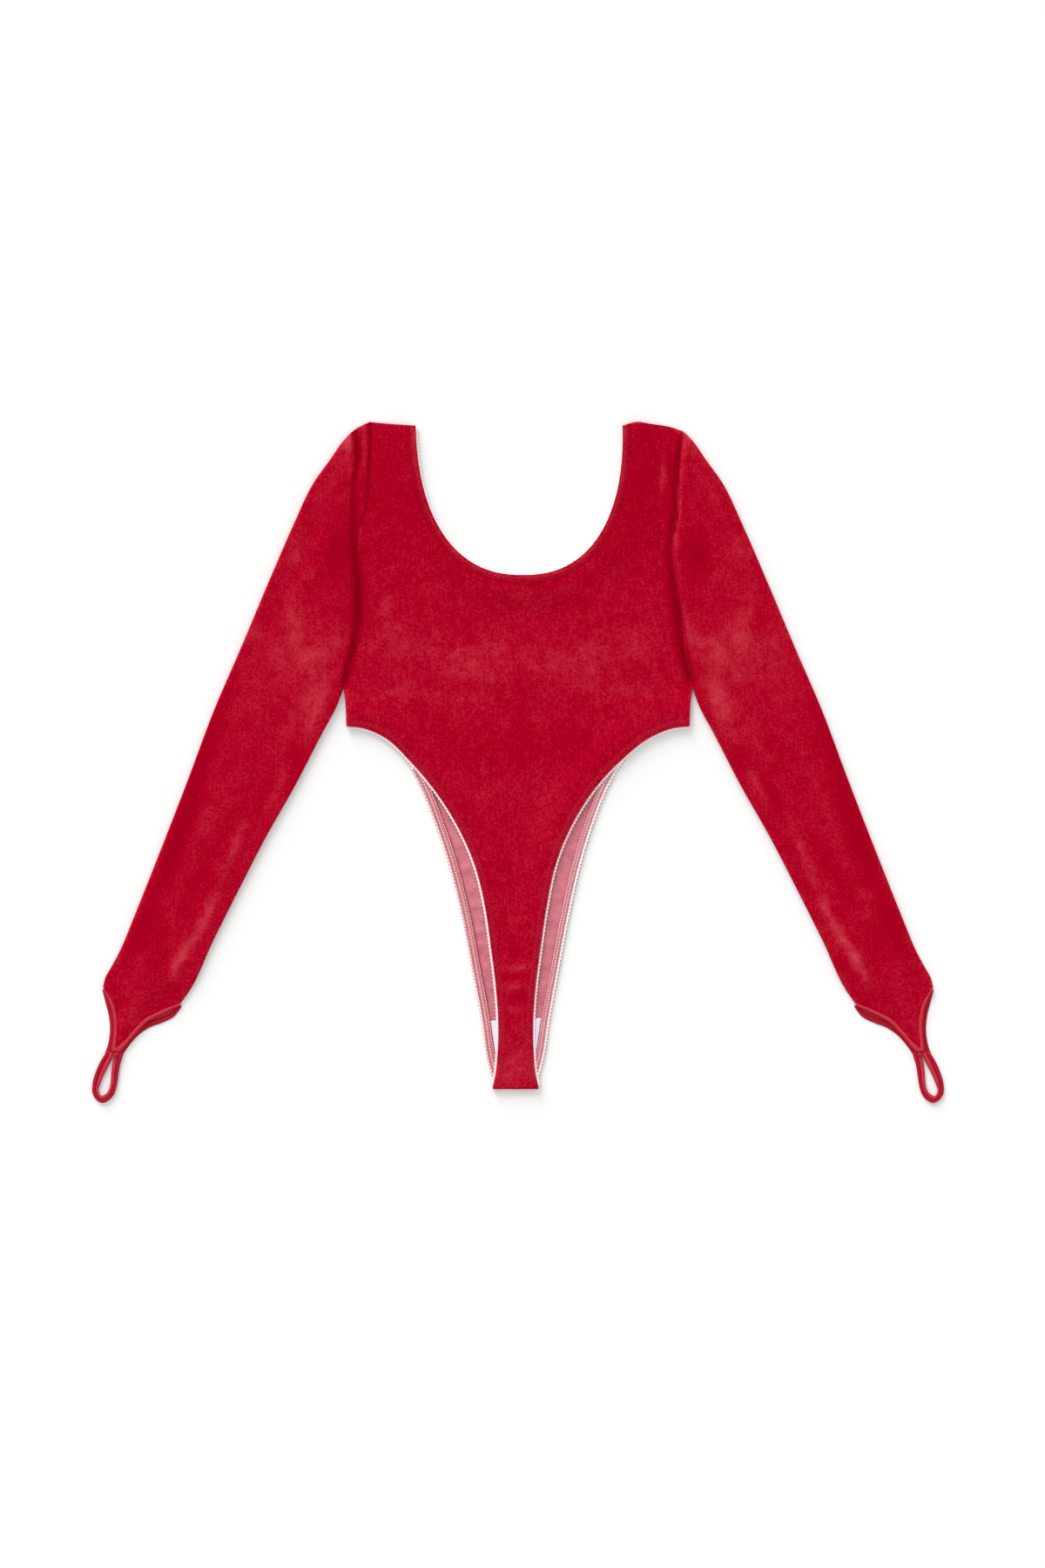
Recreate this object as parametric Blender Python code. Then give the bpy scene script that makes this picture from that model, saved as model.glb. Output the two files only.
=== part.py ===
"""Long-sleeved, high-cut velvet leotard, laid flat on its back with its front up.

Millimetres inside, metres in the meshes. X runs across the body, Y from the gusset to the
shoulders, Z up from the surface it lies on. Left is -X, as seen from above. Every piece of cloth
is a sheet of points worked out from the tables below, given its thickness by a Solidify modifier.
"""
import math

import bmesh
import bpy
import numpy as np

MM = 0.001

# Thickness of each cloth, and the gap at seams and between layers
VELVET = 1.2
TAPE = 1.0
BINDING = 1.4
LOOP_TAPE = 2.0
GAP = 0.3

# The middle of the whole part's box, where its origin goes, as the tables below measure it (x, y, z)
MIDDLE = (0.0, -0.34, 0.0)

# Height of the middle of each layer above the surface, from the bottom layer up. The binding on top
# of a cuff clears the velvet that rises beside it.
BINDING_CLEARANCE = 0.51
BACK_Z = VELVET / 2
BACK_TRIM_Z = VELVET + GAP + TAPE / 2
SEAM_Z = VELVET + GAP + VELVET / 2
FRONT_TRIM_Z = BACK_TRIM_Z + TAPE + GAP
FRONT_RIM_Z = FRONT_TRIM_Z + TAPE / 2 + GAP + VELVET / 2
TOP_BINDING_Z = VELVET + BINDING_CLEARANCE + BINDING / 2

# The front's rim stays at its full height this far in from neck and leg edges, then falls to the back
RIM_FLAT = 14.0
RIM_FADE = 45.0

# Neck: a rounded U, wider than a circle would be, that leans a little to the right as it goes down.
# It starts just below its top, and the back's is cut a little larger.
NECK_HALF_WIDTH = 106.7
NECK_DEPTH = 156.6
NECK_TOP_Y = 349.6
NECK_SQUARENESS = 2.35
NECK_BACK_GROW = 2.0
FIRST_BELOW_NECK_TOP = 2.6

# How far the middle of the front lies from x = 0, down its length (y, x), and how fast that fades
# out towards the sides
LEAN = ((350.0, 1.1), (193.0, 4.7), (120.0, 2.0), (36.0, 0.0), (0.0, -4.5), (-60.0, -3.8),
        (-150.0, -2.2), (-338.0, -2.5))
LEAN_FADE = 1.6

# Where the waist and the gusset's fold lie, the flap turned under there, and where each layer ends
WAIST_Y = 150.0
CROTCH_Y = -338.0
TURN_UNDER = 12.0
TURN_STEPS = 5
FRONT_END_Y = -335.3
BACK_END_Y = CROTCH_Y + TURN_UNDER + GAP
TRIM_END_Y = -334.0

# Shoulder end and armhole of each side, from the neck out and then down to the underarm (x, y)
SHOULDER = {
    "left": ((-105.6, 347.0), (-134.8, 349.2), (-151.4, 350.9)),
    "right": ((107.8, 347.0), (122.3, 351.0), (136.1, 349.2), (158.6, 345.4), (168.1, 342.0)),
}
ARMHOLE = {
    "left": ((-151.9, 350.9), (-151.9, 328.0), (-152.8, 301.0), (-162.7, 247.0), (-165.4, 211.0),
             (-165.2, 160.0), (-168.1, 130.0), (-173.5, 112.0), (-177.1, 94.0), (-180.2, 76.0)),
    "right": ((168.8, 341.8), (164.9, 310.0), (163.7, 256.0), (158.8, 226.0), (163.7, 190.0),
              (170.2, 156.0), (171.6, 126.0), (176.6, 96.0), (180.2, 76.0)),
}

# Body side and leg edge, as half widths at each height (half width, y)
SIDE = ((180.2, 76.0), (178.4, 62.0), (177.1, 36.5))
FRONT_LEG = ((177.1, 36.5), (160.0, 34.5), (135.5, 24.0), (110.5, 2.5), (90.0, -19.5),
             (61.0, -62.5), (42.0, -106.0), (32.0, -149.0), (25.7, -192.0), (20.3, -235.5),
             (18.0, -270.0), (18.6, -300.0), (20.7, -322.0), (23.5, -335.3))
BACK_LEG = ((177.1, 36.5), (158.0, 33.0), (133.0, 21.5), (110.0, -3.0), (98.5, -23.0),
            (82.0, -63.5), (69.0, -104.0), (55.8, -158.0), (45.5, -212.0), (35.6, -266.0),
            (29.3, -306.5), (24.4, -325.7), (22.8, -335.3))

# Elastic sewn inside the neck and leg edges, and how far its frilled edge shows past the cloth: at
# the legs for each layer, and at the neck for each layer from left to right
ELASTIC_WIDTH = 9.0
LEG_FRILL = {"front": 3.0, "back": 0.0}
NECK_FRILL = {"front": (0.3, 0.3), "back": (2.4, 0.3)}
ELASTIC_STEPS = 40
NECK_STEPS = 24
NECK_TRIM_START = 0.006

# Where the gusset's lining begins at each side
LINING_TOP = {"left": -267.5, "right": -264.5}
LINING_ROWS = 7

# Sleeve edges as x outwards from the middle (x, y), from the armhole to the cuff
CAP = {
    "left": ((152.3, 351.4), (163.6, 346.1), (172.6, 339.8)),
    "right": ((169.3, 342.3), (175.0, 337.4)),
}
OUTER_EDGE = ((180.4, 331.6), (193.6, 312.8), (211.5, 287.6), (231.0, 247.0), (254.5, 193.0),
              (288.7, 112.0), (312.1, 58.0), (342.7, -23.0), (379.6, -117.5), (395.8, -158.0),
              (412.9, -198.5), (420.5, -212.5), (426.4, -223.0), (428.9, -233.0))
INNER_EDGE = ((180.3, 76.0), (187.0, 58.0), (201.4, 31.0), (229.3, -23.0), (259.9, -77.0),
              (287.8, -131.0), (314.8, -185.0), (340.9, -239.0), (348.6, -249.5))

# Pointed cuff: edge of the velvet and of its binding on the upper and the under layer, each as
# the outer side down to the point and the inner side up from it
CUFF_VELVET = {
    "top": (((428.3, -233.1), (423.7, -239.8), (418.5, -248.0), (414.9, -261.4), (414.0, -274.9),
             (415.1, -289.4), (415.6, -295.7)),
            ((415.6, -295.7), (406.8, -288.4), (397.6, -277.7), (385.6, -265.7), (369.9, -257.4),
             (349.1, -249.1))),
    "under": (((428.3, -233.1), (421.4, -248.0), (418.0, -261.4), (416.7, -274.9),
               (417.6, -288.0), (417.0, -296.6)),
              ((417.0, -296.6), (404.1, -288.1), (394.7, -276.8), (382.7, -268.7),
               (369.2, -264.0), (357.0, -258.0), (349.1, -249.1))),
}
CUFF_BINDING = {
    "top": (((429.2, -235.2), (423.5, -248.0), (419.9, -261.4), (419.0, -274.9),
             (420.1, -290.0), (421.6, -301.1)),
            ((410.4, -301.1), (402.8, -291.9), (394.0, -281.2), (382.5, -269.8),
             (367.7, -261.6), (347.6, -252.2))),
    "under": (((429.6, -235.6), (426.4, -248.0), (423.0, -261.4), (421.6, -274.9),
               (423.2, -290.0), (426.4, -301.1)),
              ((407.5, -301.1), (400.3, -291.2), (391.3, -281.6), (380.5, -274.4),
               (367.9, -269.6), (355.3, -263.0), (347.2, -252.6))),
}

# The binding starts this far along the cuff from the sleeve's fold, stands this far off the velvet,
# and has one more station just past the point, which gives it a blunt end
BINDING_START = 0.025
CUFF_GAP = 0.42
JUST_PAST = 1e-6

# Finger loop: the outline of the folded tape and of the hole in it (x outwards, y)
LOOP_OUTLINE = ((426.4, -301.5), (428.4, -304.4), (435.4, -318.2), (439.6, -333.0),
                (439.4, -343.0), (434.5, -350.0), (429.1, -352.4), (422.8, -349.7),
                (417.4, -343.4), (414.7, -335.3), (412.9, -324.5), (411.1, -312.8),
                (407.6, -301.5))
LOOP_HOLE = ((417.7, -301.5), (418.9, -305.4), (423.7, -315.4), (428.2, -324.5), (431.8, -333.5),
             (433.6, -340.0), (430.6, -345.0), (426.4, -343.4), (422.8, -338.9),
             (421.0, -331.7), (420.1, -320.0), (418.3, -307.4), (417.1, -301.5))
LOOP_STEPS = 26

# Points of a line that distances are measured to, and how close two points are one
LINE_POINTS = 200
MERGE = 0.01

# Grid of the panels: set distances in from each edge, evenly spaced columns between them, and the
# rows along armhole, side and leg. A row shorter than the full one has its distances shortened.
FRONT_STEPS = (0.0, 4.0, 12.0, 24.0)
BACK_STEPS = (0.0, 12.0)
FULL_ROW = 75.0
FRONT_MIDDLE = 3
BACK_MIDDLE = 2
SIDE_ROWS = 3
LEG_ROWS = 22

# Grid of the sleeves: the radius of the folds along their length and where they lie flat, the
# columns across, the rings along, and how fast a sleeve rises from its seam and falls to its cuff
FOLD_RADIUS = 1.7
FLAT_RADIUS = (SEAM_Z - BACK_Z) / 2
FOLD_COLUMN = 7.0
SLEEVE_COLUMNS = (0.09, 0.18, 0.27, 0.36, 0.44, 0.53, 0.62, 0.71, 0.80, 0.90)
POINT_COLUMN = 0.44
SLEEVE_RINGS = 22
ARM_LENGTH = 530.0
FIRST_RINGS = (0.0, 1.5, 5.0, 9.0, 18.0)
SEAM_RISE = {"left": 15.0, "right": 5.0}
CUFF_FALL = 70.0

# Soft rises of the front (x, y, half length, half width, turn in degrees, height)
BODY_RELIEF = (
    (-78.0, 168.0, 70.0, 34.0, 62.0, 0.7),
    (84.0, 152.0, 64.0, 30.0, 118.0, 0.8),
    (6.0, 92.0, 88.0, 30.0, 8.0, 0.6),
    (-40.0, 18.0, 60.0, 26.0, -24.0, 0.5),
    (46.0, 30.0, 52.0, 24.0, 30.0, 0.5),
    (-134.0, 262.0, 46.0, 12.0, 82.0, 0.5),
    (136.0, 254.0, 52.0, 13.0, 98.0, 0.5),
)

# Folds along each sleeve (sides, place across from the outer edge, width of it, start, end, height),
# and the share of the sleeve's length in which each one rises and falls
FOLD_END = 0.08
SLEEVE_RELIEF = (
    ("both", 0.15, 0.06, 0.05, 0.85, -0.45),
    ("both", 0.29, 0.07, 0.02, 0.36, 0.55),
    ("both", 0.74, 0.07, 0.50, 0.92, 0.60),
    ("both", 0.50, 0.10, 0.30, 0.70, 0.30),
    ("left", 0.62, 0.08, 0.04, 0.24, 0.50),
    ("left", 0.80, 0.05, 0.02, 0.18, -0.40),
    ("right", 0.56, 0.08, 0.03, 0.26, 0.45),
    ("right", 0.78, 0.06, 0.04, 0.22, -0.35),
)

SIGN = {"left": -1.0, "right": 1.0}


def clear_scene():
    """Take away whatever the file opened with."""
    for item in list(bpy.data.objects):
        bpy.data.objects.remove(item, do_unlink=True)


def material(name, colour, roughness):
    """A plain cloth finish: sRGB colour from 0 to 255, turned to linear."""
    finish = bpy.data.materials.new(name)
    finish.use_nodes = True
    linear = [((c / 255 + 0.055) / 1.055) ** 2.4 for c in colour]
    shader = finish.node_tree.nodes["Principled BSDF"]
    shader.inputs["Base Color"].default_value = (*linear, 1.0)
    shader.inputs["Roughness"].default_value = roughness
    shader.inputs["Metallic"].default_value = 0.0
    return finish


def trace(points, steps=24):
    """A dense smooth line through the points: a cubic in each stretch, with the slopes of its
    neighbours weighed by their lengths. Gives the points and how far along each lies, 0 to 1."""
    p = np.asarray(points, float)
    span = np.linalg.norm(np.diff(p, axis=0), axis=1)[:, None]
    slope = np.diff(p, axis=0) / span
    tangent = np.vstack([slope[:1], slope[-1:]])
    if len(p) > 2:
        inside = (slope[:-1] * span[1:] + slope[1:] * span[:-1]) / (span[1:] + span[:-1])
        tangent = np.vstack([slope[:1], inside, slope[-1:]])
    s = np.linspace(0, 1, steps, endpoint=False)[:, None]
    line = [
        (2 * s**3 - 3 * s**2 + 1) * a + (s**3 - 2 * s**2 + s) * gap * ta
        + (3 * s**2 - 2 * s**3) * b + (s**3 - s**2) * gap * tb
        for a, b, ta, tb, gap in zip(p[:-1], p[1:], tangent[:-1], tangent[1:], span)
    ]
    return measured(np.vstack(line + [p[-1:]]))


def at(traced, fractions):
    """Points of a traced line at fractions of its length, in the shape of the fractions."""
    line, along = traced
    return np.stack([np.interp(fractions, along, line[:, k]) for k in (0, 1)], axis=-1)


def sample(points, count):
    """Evenly spaced points of the smooth line through a table's points."""
    return at(trace(points), np.linspace(0, 1, count))


def measured(line):
    """A dense line with how far along it each of its points lies, 0 to 1."""
    length = np.concatenate([[0], np.cumsum(np.linalg.norm(np.diff(line, axis=0), axis=1))])
    return line, length / length[-1]


def smooth_step(value):
    """0 below 0, 1 above 1, and an even S between."""
    v = np.clip(value, 0, 1)
    return v * v * (3 - 2 * v)


def centre_x(y):
    """Where the middle of the body lies at a height y."""
    table = np.array(LEAN)[::-1]
    return np.interp(y, table[:, 0], table[:, 1])


def mirrored(half_widths, side):
    """A table of half widths as points on one side of the leaning middle line. The lean fades
    out towards the sides of the body, which stand straight."""
    table = np.asarray(half_widths, float)
    widest = table[:, 0].max()
    lean = centre_x(table[:, 1]) * smooth_step(LEAN_FADE * (1 - table[:, 0] / widest))
    return np.stack([SIGN[side] * table[:, 0] + lean, table[:, 1]], axis=1)


def outwards(points, side):
    """A table of points with x outwards from the middle, on one side."""
    return np.asarray(points, float) * np.array([SIGN[side], 1.0])


def neck_edge(side, fractions, grow=0.0):
    """The neck from the shoulder down to its lowest point, at fractions of its length: half
    width a and depth b hold (x/a)^n + (d/b)^n = 1 at depth d."""
    a = NECK_HALF_WIDTH + grow
    b = NECK_DEPTH + grow
    start = math.asin((FIRST_BELOW_NECK_TOP / b) ** (NECK_SQUARENESS / 2))
    turn = np.linspace(start, math.pi / 2, LINE_POINTS)
    depth = b * np.sin(turn) ** (2 / NECK_SQUARENESS)
    across = a * np.clip(np.cos(turn), 0, 1) ** (2 / NECK_SQUARENESS)
    y = NECK_TOP_Y - depth
    return at(measured(np.stack([SIGN[side] * across + centre_x(y), y], axis=1)), fractions)


def leg_edge(side, table, end_y, count):
    """Evenly spaced points of a leg edge, from the side seam down to a height."""
    line = trace(mirrored(table, side))[0]
    kept = np.count_nonzero(line[:, 1] > end_y)
    if kept < len(line):
        part = (line[kept - 1, 1] - end_y) / (line[kept - 1, 1] - line[kept, 1])
        end = line[kept - 1] + part * (line[kept] - line[kept - 1])
        line = np.vstack([line[:kept], end])
    return at(measured(line), np.linspace(0, 1, count))


def shifted(line, distance):
    """A line moved to its right-hand side by a distance, square to its run."""
    run = np.gradient(line, axis=0)
    run /= np.linalg.norm(run, axis=1)[:, None]
    return line + distance * np.stack([run[:, 1], -run[:, 0]], axis=1)


def distance_to(lines, points):
    """How far each point lies in plan from the nearest of the lines."""
    line = np.vstack(lines)
    gaps = points[..., None, :] - line
    return np.sqrt((gaps**2).sum(-1)).min(-1)


def with_height(plan, height):
    """Points in plan with their heights."""
    return np.concatenate([plan, np.broadcast_to(height, plan.shape[:-1])[..., None]], axis=-1)


def cloth(name, grids, thickness, finish, closed=False):
    """A sheet through grids of points in mm, joined where they share an edge, thickened evenly
    to both sides. A closed grid runs round a tube."""
    bm = bmesh.new()
    for grid in grids:
        rows = [[bm.verts.new((point - MIDDLE) * MM) for point in row] for row in grid]
        if closed:
            rows = [row + row[:1] for row in rows]
        for low, high in zip(rows[:-1], rows[1:]):
            for a, b, c, d in zip(low[:-1], low[1:], high[1:], high[:-1]):
                bm.faces.new((a, b, c, d))
    bmesh.ops.remove_doubles(bm, verts=bm.verts, dist=MERGE * MM)
    mesh = bpy.data.meshes.new(name)
    bm.to_mesh(mesh)
    bm.free()
    mesh.shade_smooth()
    mesh.materials.append(finish)
    piece = bpy.data.objects.new(name, mesh)
    bpy.context.scene.collection.objects.link(piece)
    wall = piece.modifiers.new("wall", "SOLIDIFY")
    wall.thickness = thickness * MM
    wall.offset = 0.0
    wall.use_even_offset = False
    wall.use_rim = True


def panel_plan(inner, outer, steps, middle):
    """Rows of points from the outer edge to the inner one, at set distances from both edges and
    evenly between them. Short rows have their set distances shortened."""
    length = np.linalg.norm(inner - outer, axis=1)[:, None]
    near = np.array(steps) * np.minimum(1, length / FULL_ROW) / length
    far = 1 - near[:, ::-1]
    fill = np.linspace(0, 1, middle + 2)[1:-1]
    centre = near[:, -1:] + (far[:, :1] - near[:, -1:]) * fill
    across = np.concatenate([near, centre, far], axis=1)[..., None]
    return outer[:, None] + across * (inner - outer)[:, None]


def armhole_line(side, out):
    """The armhole seam's line moved outwards from the body, with how far along each point lies."""
    line, along = trace(ARMHOLE[side])
    return shifted(line, -SIGN[side] * out), along


def shared_rows(first, last):
    """Fractions of a sleeve end, from one fold to the other, where what meets the sleeve has the
    same points as the sleeve."""
    beside = FOLD_COLUMN / np.linalg.norm(np.subtract(last, first))
    return np.array([0, beside, *SLEEVE_COLUMNS, 1 - beside, 1])


def body_edges(side, leg, leg_end_y, neck_grow=0.0):
    """Matching points of one half of the body: the neck and then the middle line, and the
    armhole, side and leg edge. The armhole stands back from its seam by half the gap."""
    rows = shared_rows(ARMHOLE[side][0], ARMHOLE[side][-1])
    armhole = at(armhole_line(side, -GAP / 2), rows)
    flank = sample(mirrored(SIDE, side), SIDE_ROWS + 1)[1:]
    thigh = leg_edge(side, leg, leg_end_y, LEG_ROWS + 1)[1:]
    outer = np.vstack([armhole, flank, thigh])
    neck = neck_edge(side, rows, neck_grow)
    waist = np.linspace(neck[-1, 1], WAIST_Y, SIDE_ROWS + 1)[1:]
    seat = np.linspace(WAIST_Y, leg_end_y, LEG_ROWS + 1)[1:]
    y = np.concatenate([waist, seat])
    inner = np.vstack([neck, np.stack([centre_x(y), y], axis=1)])
    return inner, outer


def relief(plan):
    """Height of the soft rises of the front: each falls off as a bell along and across."""
    height = np.zeros(plan.shape[:-1])
    for x, y, half_length, half_width, turn, rise in BODY_RELIEF:
        angle = math.radians(turn)
        dx = plan[..., 0] - x
        dy = plan[..., 1] - y
        along = (dx * math.cos(angle) + dy * math.sin(angle)) / half_length
        aside = (dy * math.cos(angle) - dx * math.sin(angle)) / half_width
        height += rise * np.exp(-(along**2) - aside**2)
    return height


def shape_shoulder(plan, side):
    """Bring the first row of a panel onto the shoulder seam's line."""
    length = np.linalg.norm(plan[0] - plan[0, -1], axis=1)
    plan[0] = at(trace(SHOULDER[side]), length / length.max())
    return plan


def front_panel(finish):
    """The front: it rests on the back, rises over the elastic at neck and leg edges, and turns
    under at the gusset, where a short flap lies on the surface."""
    grids = []
    for side in SIGN:
        inner, outer = body_edges(side, FRONT_LEG, FRONT_END_Y)
        plan = shape_shoulder(panel_plan(inner, outer, FRONT_STEPS, FRONT_MIDDLE), side)
        legs = sample(mirrored(FRONT_LEG, side), LINE_POINTS)
        rim = distance_to([legs, neck_edge(side, np.linspace(0, 1, LINE_POINTS))], plan)
        lift = 1 - smooth_step((rim - RIM_FLAT) / (RIM_FADE - RIM_FLAT))
        seams = [sample(ARMHOLE[side], LINE_POINTS), sample(mirrored(SIDE, side), LINE_POINTS)]
        ease = smooth_step(distance_to(seams, plan) / RIM_FLAT)
        height = SEAM_Z + lift * (FRONT_RIM_Z - SEAM_Z) + (1 - lift) * ease * relief(plan)
        grid = with_height(plan, height)
        grid = np.vstack([grid, turned_under(grid[-1])])
        grids.append(grid if side == "left" else grid[:, ::-1])
    cloth("front_panel", grids, VELVET, finish)


def turned_under(last_row):
    """Rows that go on from the last one round a half circle and back along the surface."""
    radius = (last_row[:, 2] - BACK_Z) / 2
    centre_y = CROTCH_Y + VELVET / 2 + radius
    rows = []
    for angle in np.linspace(0, math.pi, TURN_STEPS + 1)[1:]:
        y = centre_y - radius * math.sin(angle)
        z = BACK_Z + radius * (1 + math.cos(angle))
        rows.append(np.stack([last_row[:, 0], y, z], axis=1))
    end = rows[-1].copy()
    end[:, 1] = CROTCH_Y + TURN_UNDER
    return np.stack(rows + [end])


def back_panel(finish):
    """The back, flat on the surface, cut away to a thong and ending where the front's turned
    flap begins."""
    grids = []
    for side in SIGN:
        inner, outer = body_edges(side, BACK_LEG, BACK_END_Y, NECK_BACK_GROW)
        plan = shape_shoulder(panel_plan(inner, outer, BACK_STEPS, BACK_MIDDLE), side)
        grid = with_height(plan, BACK_Z)
        grids.append(grid if side == "left" else grid[:, ::-1])
    cloth("back_panel", grids, VELVET, finish)


def strip(name, first, second, height, thickness, finish):
    """A flat strip between two lines with the same number of points."""
    grid = with_height(np.stack([first, second], axis=1), height)
    cloth(name, [grid], thickness, finish)


def leg_elastics(finish):
    """Elastic inside each leg edge, from the side seam to the gusset."""
    for layer, table, height in (("front", FRONT_LEG, FRONT_TRIM_Z), ("back", BACK_LEG, BACK_TRIM_Z)):
        for side in SIGN:
            edge = leg_edge(side, table, TRIM_END_Y, ELASTIC_STEPS)
            outer = shifted(edge, -SIGN[side] * LEG_FRILL[layer])
            inner = shifted(edge, SIGN[side] * (ELASTIC_WIDTH - LEG_FRILL[layer]))
            strip(f"leg_elastic_{side}_{layer}", outer, inner, height, TAPE, finish)


def neck_elastics(finish):
    """Elastic inside the front and the back neck edge, each in one piece from shoulder to
    shoulder."""
    for layer, grow, height in (("front", 0.0, FRONT_TRIM_Z), ("back", NECK_BACK_GROW, BACK_TRIM_Z)):
        edges = []
        for side in SIGN:
            edge = neck_edge(side, np.linspace(NECK_TRIM_START, 1, NECK_STEPS), grow)
            edges.append(edge if side == "left" else edge[::-1][1:])
        edge = np.vstack(edges)
        frill = grow + np.linspace(*NECK_FRILL[layer], len(edge))[:, None]
        aside = shifted(edge, -1.0) - edge
        outer = edge + aside * frill
        inner = edge + aside * (frill - ELASTIC_WIDTH)
        strip(f"neck_elastic_{layer}", outer, inner, height, TAPE, finish)


def gusset_lining(finish):
    """White jersey on the inside of the back, between the two leg elastics."""
    edges = []
    for side in SIGN:
        leg = leg_edge(side, BACK_LEG, TRIM_END_Y, LINE_POINTS)
        leg = shifted(leg, SIGN[side] * (ELASTIC_WIDTH + GAP))
        y = np.linspace(LINING_TOP[side], TRIM_END_Y, LINING_ROWS)
        x = np.interp(y, leg[::-1, 1], leg[::-1, 0])
        edges.append(np.stack([x, y], axis=1))
    strip("gusset_lining", edges[0], edges[1], BACK_TRIM_Z, TAPE, finish)


def sleeve_columns(width, radius):
    """Fractions across a sleeve's layer: the start, an eighth turn and a quarter turn of each
    fold, a column beside it, and the set columns between."""
    bend = radius * (1 - math.cos(math.pi / 4))
    near = np.stack([0 * width, bend / width, radius / width, FOLD_COLUMN / width], axis=1)
    middle = np.broadcast_to(np.array(SLEEVE_COLUMNS), (len(width), len(SLEEVE_COLUMNS)))
    return np.concatenate([near, middle, 1 - near[:, ::-1]], axis=1)


def cuff_points(halves, side, across):
    """Points of a pointed cuff edge: its outer half up to the point's column, then its inner."""
    outer, inner = (trace(outwards(half, side)) for half in halves)
    first = at(outer, np.clip(across / POINT_COLUMN, 0, 1))
    second = at(inner, np.clip((across - POINT_COLUMN) / (1 - POINT_COLUMN), 0, 1))
    return np.where((across <= POINT_COLUMN)[..., None], first, second)


def sleeve_edges(side, along):
    """The middle of the wall at a sleeve's two folds, half a wall inside its outline."""
    outer = shifted(at(trace(outwards(CAP[side] + OUTER_EDGE, side)), along), SIGN[side] * VELVET / 2)
    inner = shifted(at(trace(outwards(INNER_EDGE, side)), along), -SIGN[side] * VELVET / 2)
    return outer, inner


def sleeve_plan(side, layer, across, along):
    """A layer of a sleeve in plan: its four edges blended, the armhole into the cuff and the
    outer fold into the inner one."""
    u = across[..., None]
    v = along[:, None, None]
    seam = armhole_line(side, GAP / 2)
    ends = smooth_step((seam[1] - SLEEVE_COLUMNS[-1]) / (1 - SLEEVE_COLUMNS[-1]))
    seam = armhole_line(side, GAP / 2 + VELVET / 2 * ends[:, None])
    armhole = at(seam, across)
    cuff = cuff_points(CUFF_VELVET[layer], side, across)
    outer, inner = (edge[:, None] for edge in sleeve_edges(side, along))
    start = (1 - u) * seam[0][0] + u * seam[0][-1]
    end = (1 - u) * outer[-1] + u * inner[-1]
    flat = (1 - v) * start + v * end
    return (1 - v) * armhole + v * cuff + (1 - u) * outer + u * inner - flat


def sleeve_relief(side, across, along):
    """Height of the folds along a sleeve: a bell across, rising and falling at its two ends."""
    height = np.zeros(across.shape)
    for sides, place, width, start, end, rise in SLEEVE_RELIEF:
        if sides in ("both", side):
            ends = smooth_step((along - start) / FOLD_END) * smooth_step((end - along) / FOLD_END)
            height += rise * ends[:, None] * np.exp(-(((across - place) / width) ** 2))
    return height


def sleeve(side, finish):
    """A flattened tube: a flat under layer, a round fold along each edge, and an upper layer with
    the sleeve's long folds. It lies low along the armhole seam and at the cuff."""
    first = np.array(FIRST_RINGS) / ARM_LENGTH
    along = np.concatenate([first, np.linspace(first[-1], 1, SLEEVE_RINGS)[1:]])
    away = smooth_step((along - first[1]) * ARM_LENGTH / SEAM_RISE[side])
    away = away * smooth_step((1 - along) * ARM_LENGTH / CUFF_FALL)
    radius = FLAT_RADIUS + (FOLD_RADIUS - FLAT_RADIUS) * away
    outer, inner = sleeve_edges(side, along)
    width = np.linalg.norm(outer - inner, axis=1)
    across = sleeve_columns(width, radius)
    eighth = math.sin(math.pi / 4)
    last = across.shape[1] - 1
    bend = np.ones(last + 1)
    bend[[0, last]] = 0
    bend[[1, last - 1]] = eighth
    middle = BACK_Z + radius[:, None]
    folds = sleeve_relief(side, across, along) * away[:, None] * (bend == 1)
    upper = with_height(sleeve_plan(side, "top", across, along), middle + radius[:, None] * bend + folds)
    under = with_height(sleeve_plan(side, "under", across, along), middle - radius[:, None] * bend)
    ring = np.concatenate([upper, under[:, last - 1:0:-1]], axis=1)
    cloth(f"sleeve_{side}", [ring], VELVET, finish, closed=True)


def cuff_bindings(side, finish):
    """Binding round the pointed edge of each layer of a cuff."""
    layers = (("top", TOP_BINDING_Z, BINDING), ("under", BACK_Z, VELVET))
    for layer, height, thickness in layers:
        outer_half, inner_half = CUFF_VELVET[layer]
        across = np.clip(shared_rows(outer_half[0], inner_half[-1]), BINDING_START, 1 - BINDING_START)
        across = np.sort(np.append(across, POINT_COLUMN + JUST_PAST))
        velvet = cuff_points(CUFF_VELVET[layer], side, across)
        velvet = shifted(velvet, -SIGN[side] * CUFF_GAP)
        outline = cuff_points(CUFF_BINDING[layer], side, across)
        strip(f"cuff_binding_{side}_{layer}", velvet, outline, height, thickness, finish)


def finger_loop(side, finish):
    """A folded tape that leaves the cuff's point, rounds a tear-shaped hole and comes back."""
    outline = sample(outwards(LOOP_OUTLINE, side), LOOP_STEPS)
    hole = sample(outwards(LOOP_HOLE, side), LOOP_STEPS)
    strip(f"finger_loop_{side}", outline, hole, LOOP_TAPE / 2, LOOP_TAPE, finish)


def main():
    """Build every piece."""
    clear_scene()
    velvet = material("stretch velvet", (176, 10, 38), 0.8)
    jersey = material("white jersey", (236, 230, 236), 0.85)
    elastic = material("picot elastic", (240, 222, 224), 0.6)
    tape = material("folded velvet tape", (190, 56, 66), 0.6)
    front_panel(velvet)
    back_panel(velvet)
    gusset_lining(jersey)
    leg_elastics(elastic)
    neck_elastics(elastic)
    for side in SIGN:
        sleeve(side, velvet)
        cuff_bindings(side, tape)
        finger_loop(side, tape)


if __name__ == "__main__":
    main()
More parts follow.
